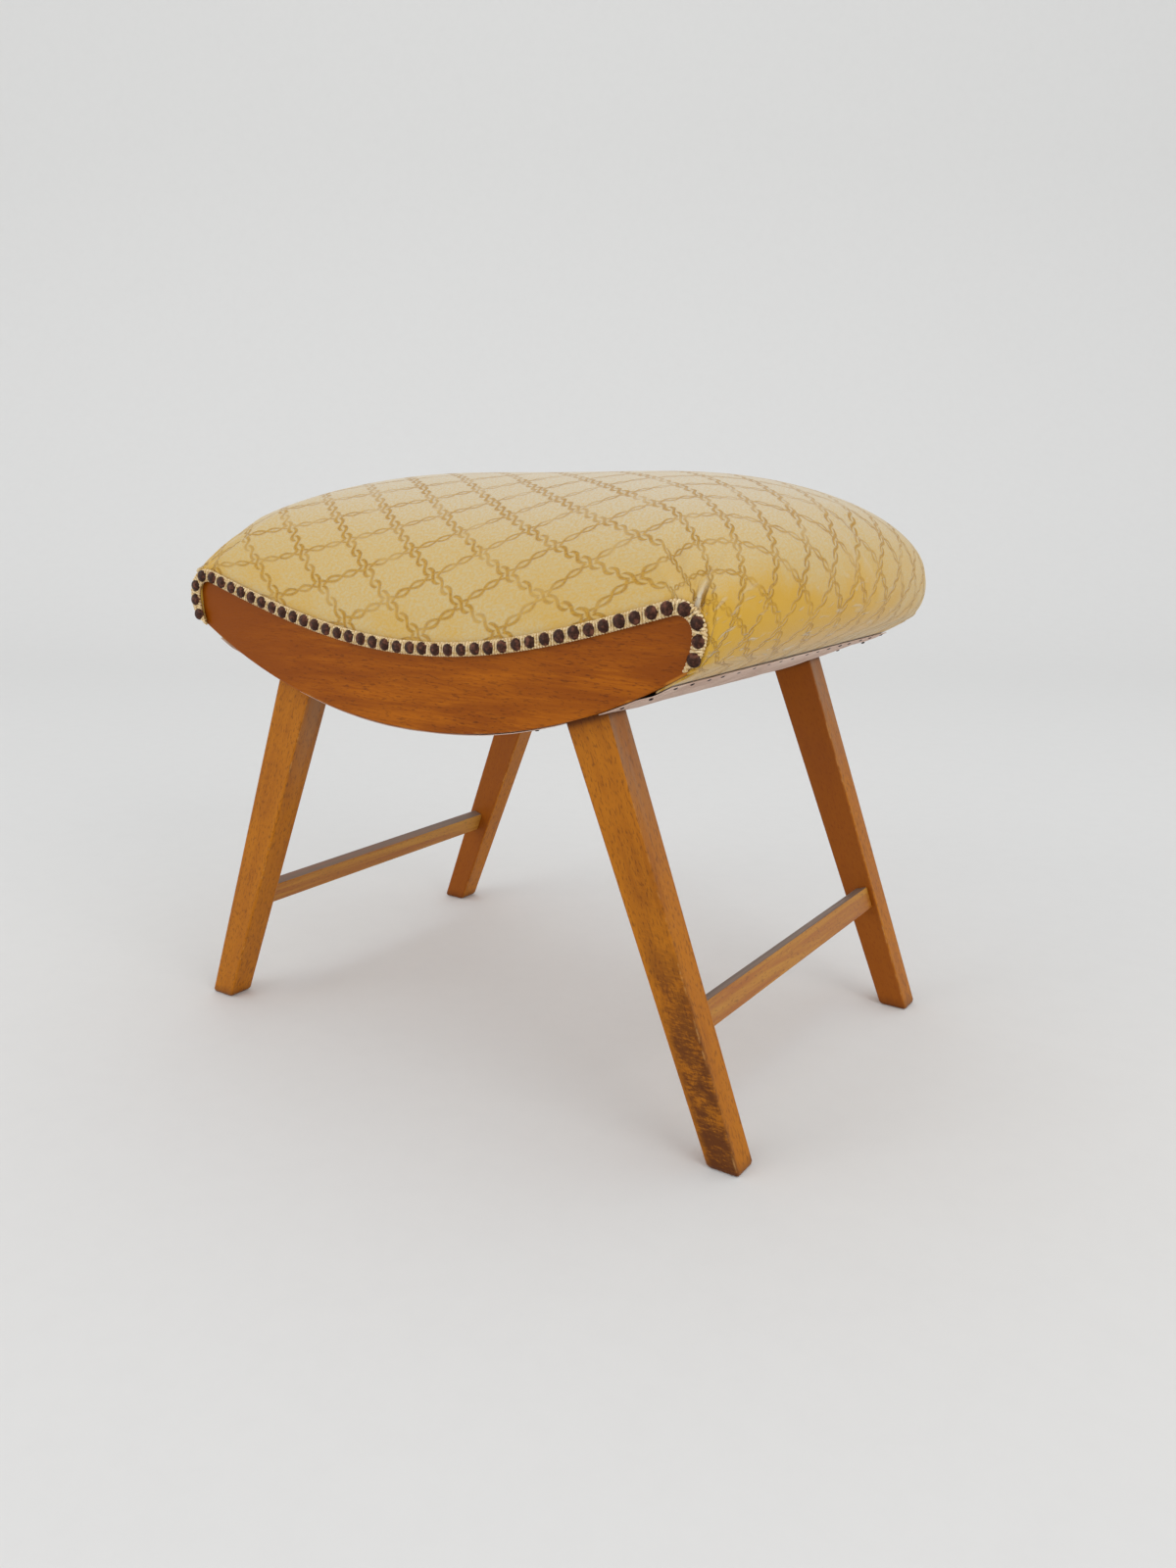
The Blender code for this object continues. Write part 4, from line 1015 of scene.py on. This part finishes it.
for vert in maker.verts:
    turn = vert.co.x / BOTTOM_RADIUS
    lapped = max(0.0, abs(vert.co.x) - (arc_half - LAP_LENGTH)) / LAP_EASE
    nailed = min(NAILED_REACH, CLOTH_EDGE_Y - abs(vert.co.y), arc_half - abs(vert.co.x)) / NAILED_REACH
    broad = mathutils.noise.noise((vert.co.x * BROAD_RIPPLE_X, vert.co.y * BROAD_RIPPLE_Y, 0.3))
    slack = broad + FINE_RIPPLE_SHARE * mathutils.noise.noise(vert.co * FINE_RIPPLE)
    drop = CLOTH_DROP + LAP_DROP * min(1.0, lapped) + CLOTH_SLACK * (0.25 + nailed) * (slack + 0.6)
    x = (BOTTOM_RADIUS + drop) * math.sin(turn)
    vert.co = (x, vert.co.y, bottom_z(x, drop))
if sum(face.normal.z for face in maker.faces) > 0:
    bmesh.ops.reverse_faces(maker, faces=maker.faces)
dust_cloth = made_object("dust_cloth_sheet", maker, dust_finish)
thick = dust_cloth.modifiers.new("thickness", "SOLIDIFY")
thick.thickness = CLOTH_THICKNESS
thick.offset = 0
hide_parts("dust_cloth")
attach(dust_cloth, "root")


# Cloth tacks
# Small cut tacks with blued heads hold the dust cloth up, along both ends and along the boards.

TACK_RADIUS = 0.0016
TACK_HEIGHT = 0.0007
TACK_STEP = 0.022
TACK_STRAY = 0.001
TACK_END_INSET = 0.0035
TACK_SIDE_INSET = 0.006
END_ROW_MARGIN = 0.008
SIDE_ROW_MARGIN = 0.020
NOTCH_MARGIN = 0.004
TACK_DROP = 0.0014
TACK_LAP_DROP = 0.0031
TACK_LAP_LENGTH = 0.022
TACK_BLUE = (0.030, 0.026, 0.030)
TACK_RUST = (0.12, 0.05, 0.025)

tack_finish, tree, shader = new_finish("blued_tack")
rust = noise(tree, place_on_object(tree), 400.0, 3.0, 0.6)
tree.links.new(mixed(tree, spread(tree, rust, 0.5, 0.75), TACK_BLUE, TACK_RUST), shader.inputs["Base Color"])
shader.inputs["Metallic"].default_value = 0.7
tree.links.new(spread(tree, rust, 0.3, 0.7, 0.35, 0.6), shader.inputs["Roughness"])


def tack_row(half):
    """Evenly spaced places from one end of a row to the other."""
    return np.linspace(-half, half, round(2 * half / TACK_STEP) + 1)


tack_places = []
for depth in tack_row(CLOTH_EDGE_Y - END_ROW_MARGIN):
    tack_places += [(side * (arc_half - TACK_END_INSET), depth) for side in (-1, 1)]
for length in tack_row(arc_half - SIDE_ROW_MARGIN):
    if not notch_low - NOTCH_MARGIN < abs(length) < notch_high + NOTCH_MARGIN:
        tack_places += [(length, side * (CLOTH_EDGE_Y - TACK_SIDE_INSET)) for side in (-1, 1)]
maker = bmesh.new()
for length, depth in tack_places:
    head = bmesh.ops.create_uvsphere(maker, u_segments=10, v_segments=6, radius=1)["verts"]
    turn = (length + stray(TACK_STRAY)) / BOTTOM_RADIUS
    drop = TACK_LAP_DROP if abs(length) > arc_half - TACK_LAP_LENGTH else TACK_DROP
    x = (BOTTOM_RADIUS + drop) * math.sin(turn)
    place = Matrix.Translation((x, depth + stray(TACK_STRAY), bottom_z(x, drop)))
    size = Matrix.Diagonal((TACK_RADIUS, TACK_RADIUS, TACK_HEIGHT, 1))
    bmesh.ops.transform(maker, matrix=place @ Matrix.Rotation(-turn, 4, "Y") @ size, verts=head)
tacks = made_object("cloth_tacks", maker, tack_finish)
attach(tacks, "root")


# Floor and backdrop
# A plain pale sweep that rises behind the stool, so that no line shows between floor and wall.

SWEEP_GREY = (0.74, 0.737, 0.722)
SWEEP_SPECK = (0.62, 0.61, 0.60)
SWEEP_WIDTH = 16
SWEEP_LENGTH = 10
SWEEP_BEND_Y = 2.0
SWEEP_RADIUS = 1.6
SWEEP_SLOPE = 3
VIEW_TURN = 0.6107

sweep_finish, tree, shader = new_finish("pale_sweep")
speck = noise(tree, place_on_object(tree), 40.0, 5.0, 0.7)
colour = mixed(tree, spread(tree, speck, 0.35, 0.75, 0.0, 0.08), SWEEP_GREY, SWEEP_SPECK)
tree.links.new(colour, shader.inputs["Base Color"])
shader.inputs["Roughness"].default_value = 0.9
maker = bmesh.new()
add_grid(maker, 4, 60, SWEEP_WIDTH, SWEEP_LENGTH)
for vert in maker.verts:
    beyond = vert.co.y - SWEEP_BEND_Y
    if beyond > 0:
        turn = min(beyond / SWEEP_RADIUS, math.pi / 2)
        upright = max(0.0, beyond - SWEEP_RADIUS * math.pi / 2)
        vert.co.y = SWEEP_BEND_Y + SWEEP_RADIUS * math.sin(turn)
        vert.co.z = SWEEP_RADIUS * (1 - math.cos(turn)) + upright * SWEEP_SLOPE
bmesh.ops.rotate(maker, cent=(0, 0, 0), matrix=Matrix.Rotation(VIEW_TURN, 3, "Z"), verts=maker.verts)
sweep = made_object("sweep", maker, sweep_finish)


# Light and camera
# Soft studio light from both sides and above, and the photo's own view, from the front and the right.

VIEW_DIP = 0.2354
VIEW_ROLL = 0.0059
CAMERA_PLACE = (0.55537, -0.81307, 0.43415)
LENS_LENGTH = 27.58
LENS_SHIFT_X = 0.0242
LENS_SHIFT_Y = -0.0039
SKY_COLOUR = (0.97, 0.98, 1.0, 1.0)
SKY_STRENGTH = 0.84
LIGHTS_AIM = Vector((0, 0, 0.25))

world = bpy.data.worlds.new("studio")
bpy.context.scene.world = world
world.use_nodes = True
world.node_tree.nodes["Background"].inputs["Color"].default_value = SKY_COLOUR
world.node_tree.nodes["Background"].inputs["Strength"].default_value = SKY_STRENGTH


def soft_box(name, place, size, power):
    """A square light at this place, turned towards the seat."""
    lamp = bpy.data.lights.new(name, "AREA")
    lamp.shape = "SQUARE"
    lamp.size = size
    lamp.energy = power
    made = bpy.data.objects.new(name, lamp)
    made.location = place
    made.rotation_euler = (LIGHTS_AIM - Vector(place)).to_track_quat("-Z", "Y").to_euler()
    bpy.context.collection.objects.link(made)


soft_box("right_light", (3.9, -1.2, 2.0), 2.6, 44)
soft_box("left_light", (-2.0, -4.0, 1.9), 3.0, 42)
soft_box("top_light", (-0.4, 1.2, 4.4), 3.6, 14)

level = math.cos(VIEW_DIP)
ahead = Vector((-math.sin(VIEW_TURN) * level, math.cos(VIEW_TURN) * level, -math.sin(VIEW_DIP)))
right_hand = Vector((math.cos(VIEW_TURN), math.sin(VIEW_TURN), 0))
down = -right_hand.cross(ahead)
x_axis = right_hand * math.cos(VIEW_ROLL) - down * math.sin(VIEW_ROLL)
y_axis = -(right_hand * math.sin(VIEW_ROLL) + down * math.cos(VIEW_ROLL))
camera_data = bpy.data.cameras.new("camera")
camera_data.sensor_width = 36
camera_data.lens = LENS_LENGTH
camera_data.shift_x = LENS_SHIFT_X
camera_data.shift_y = LENS_SHIFT_Y
camera_data.clip_start = 0.01
camera = bpy.data.objects.new("camera", camera_data)
turned = Matrix((x_axis, y_axis, -ahead)).transposed().to_4x4()
camera.matrix_world = Matrix.Translation(CAMERA_PLACE) @ turned
bpy.context.collection.objects.link(camera)
bpy.context.scene.camera = camera
bpy.context.scene.view_settings.view_transform = "Standard"
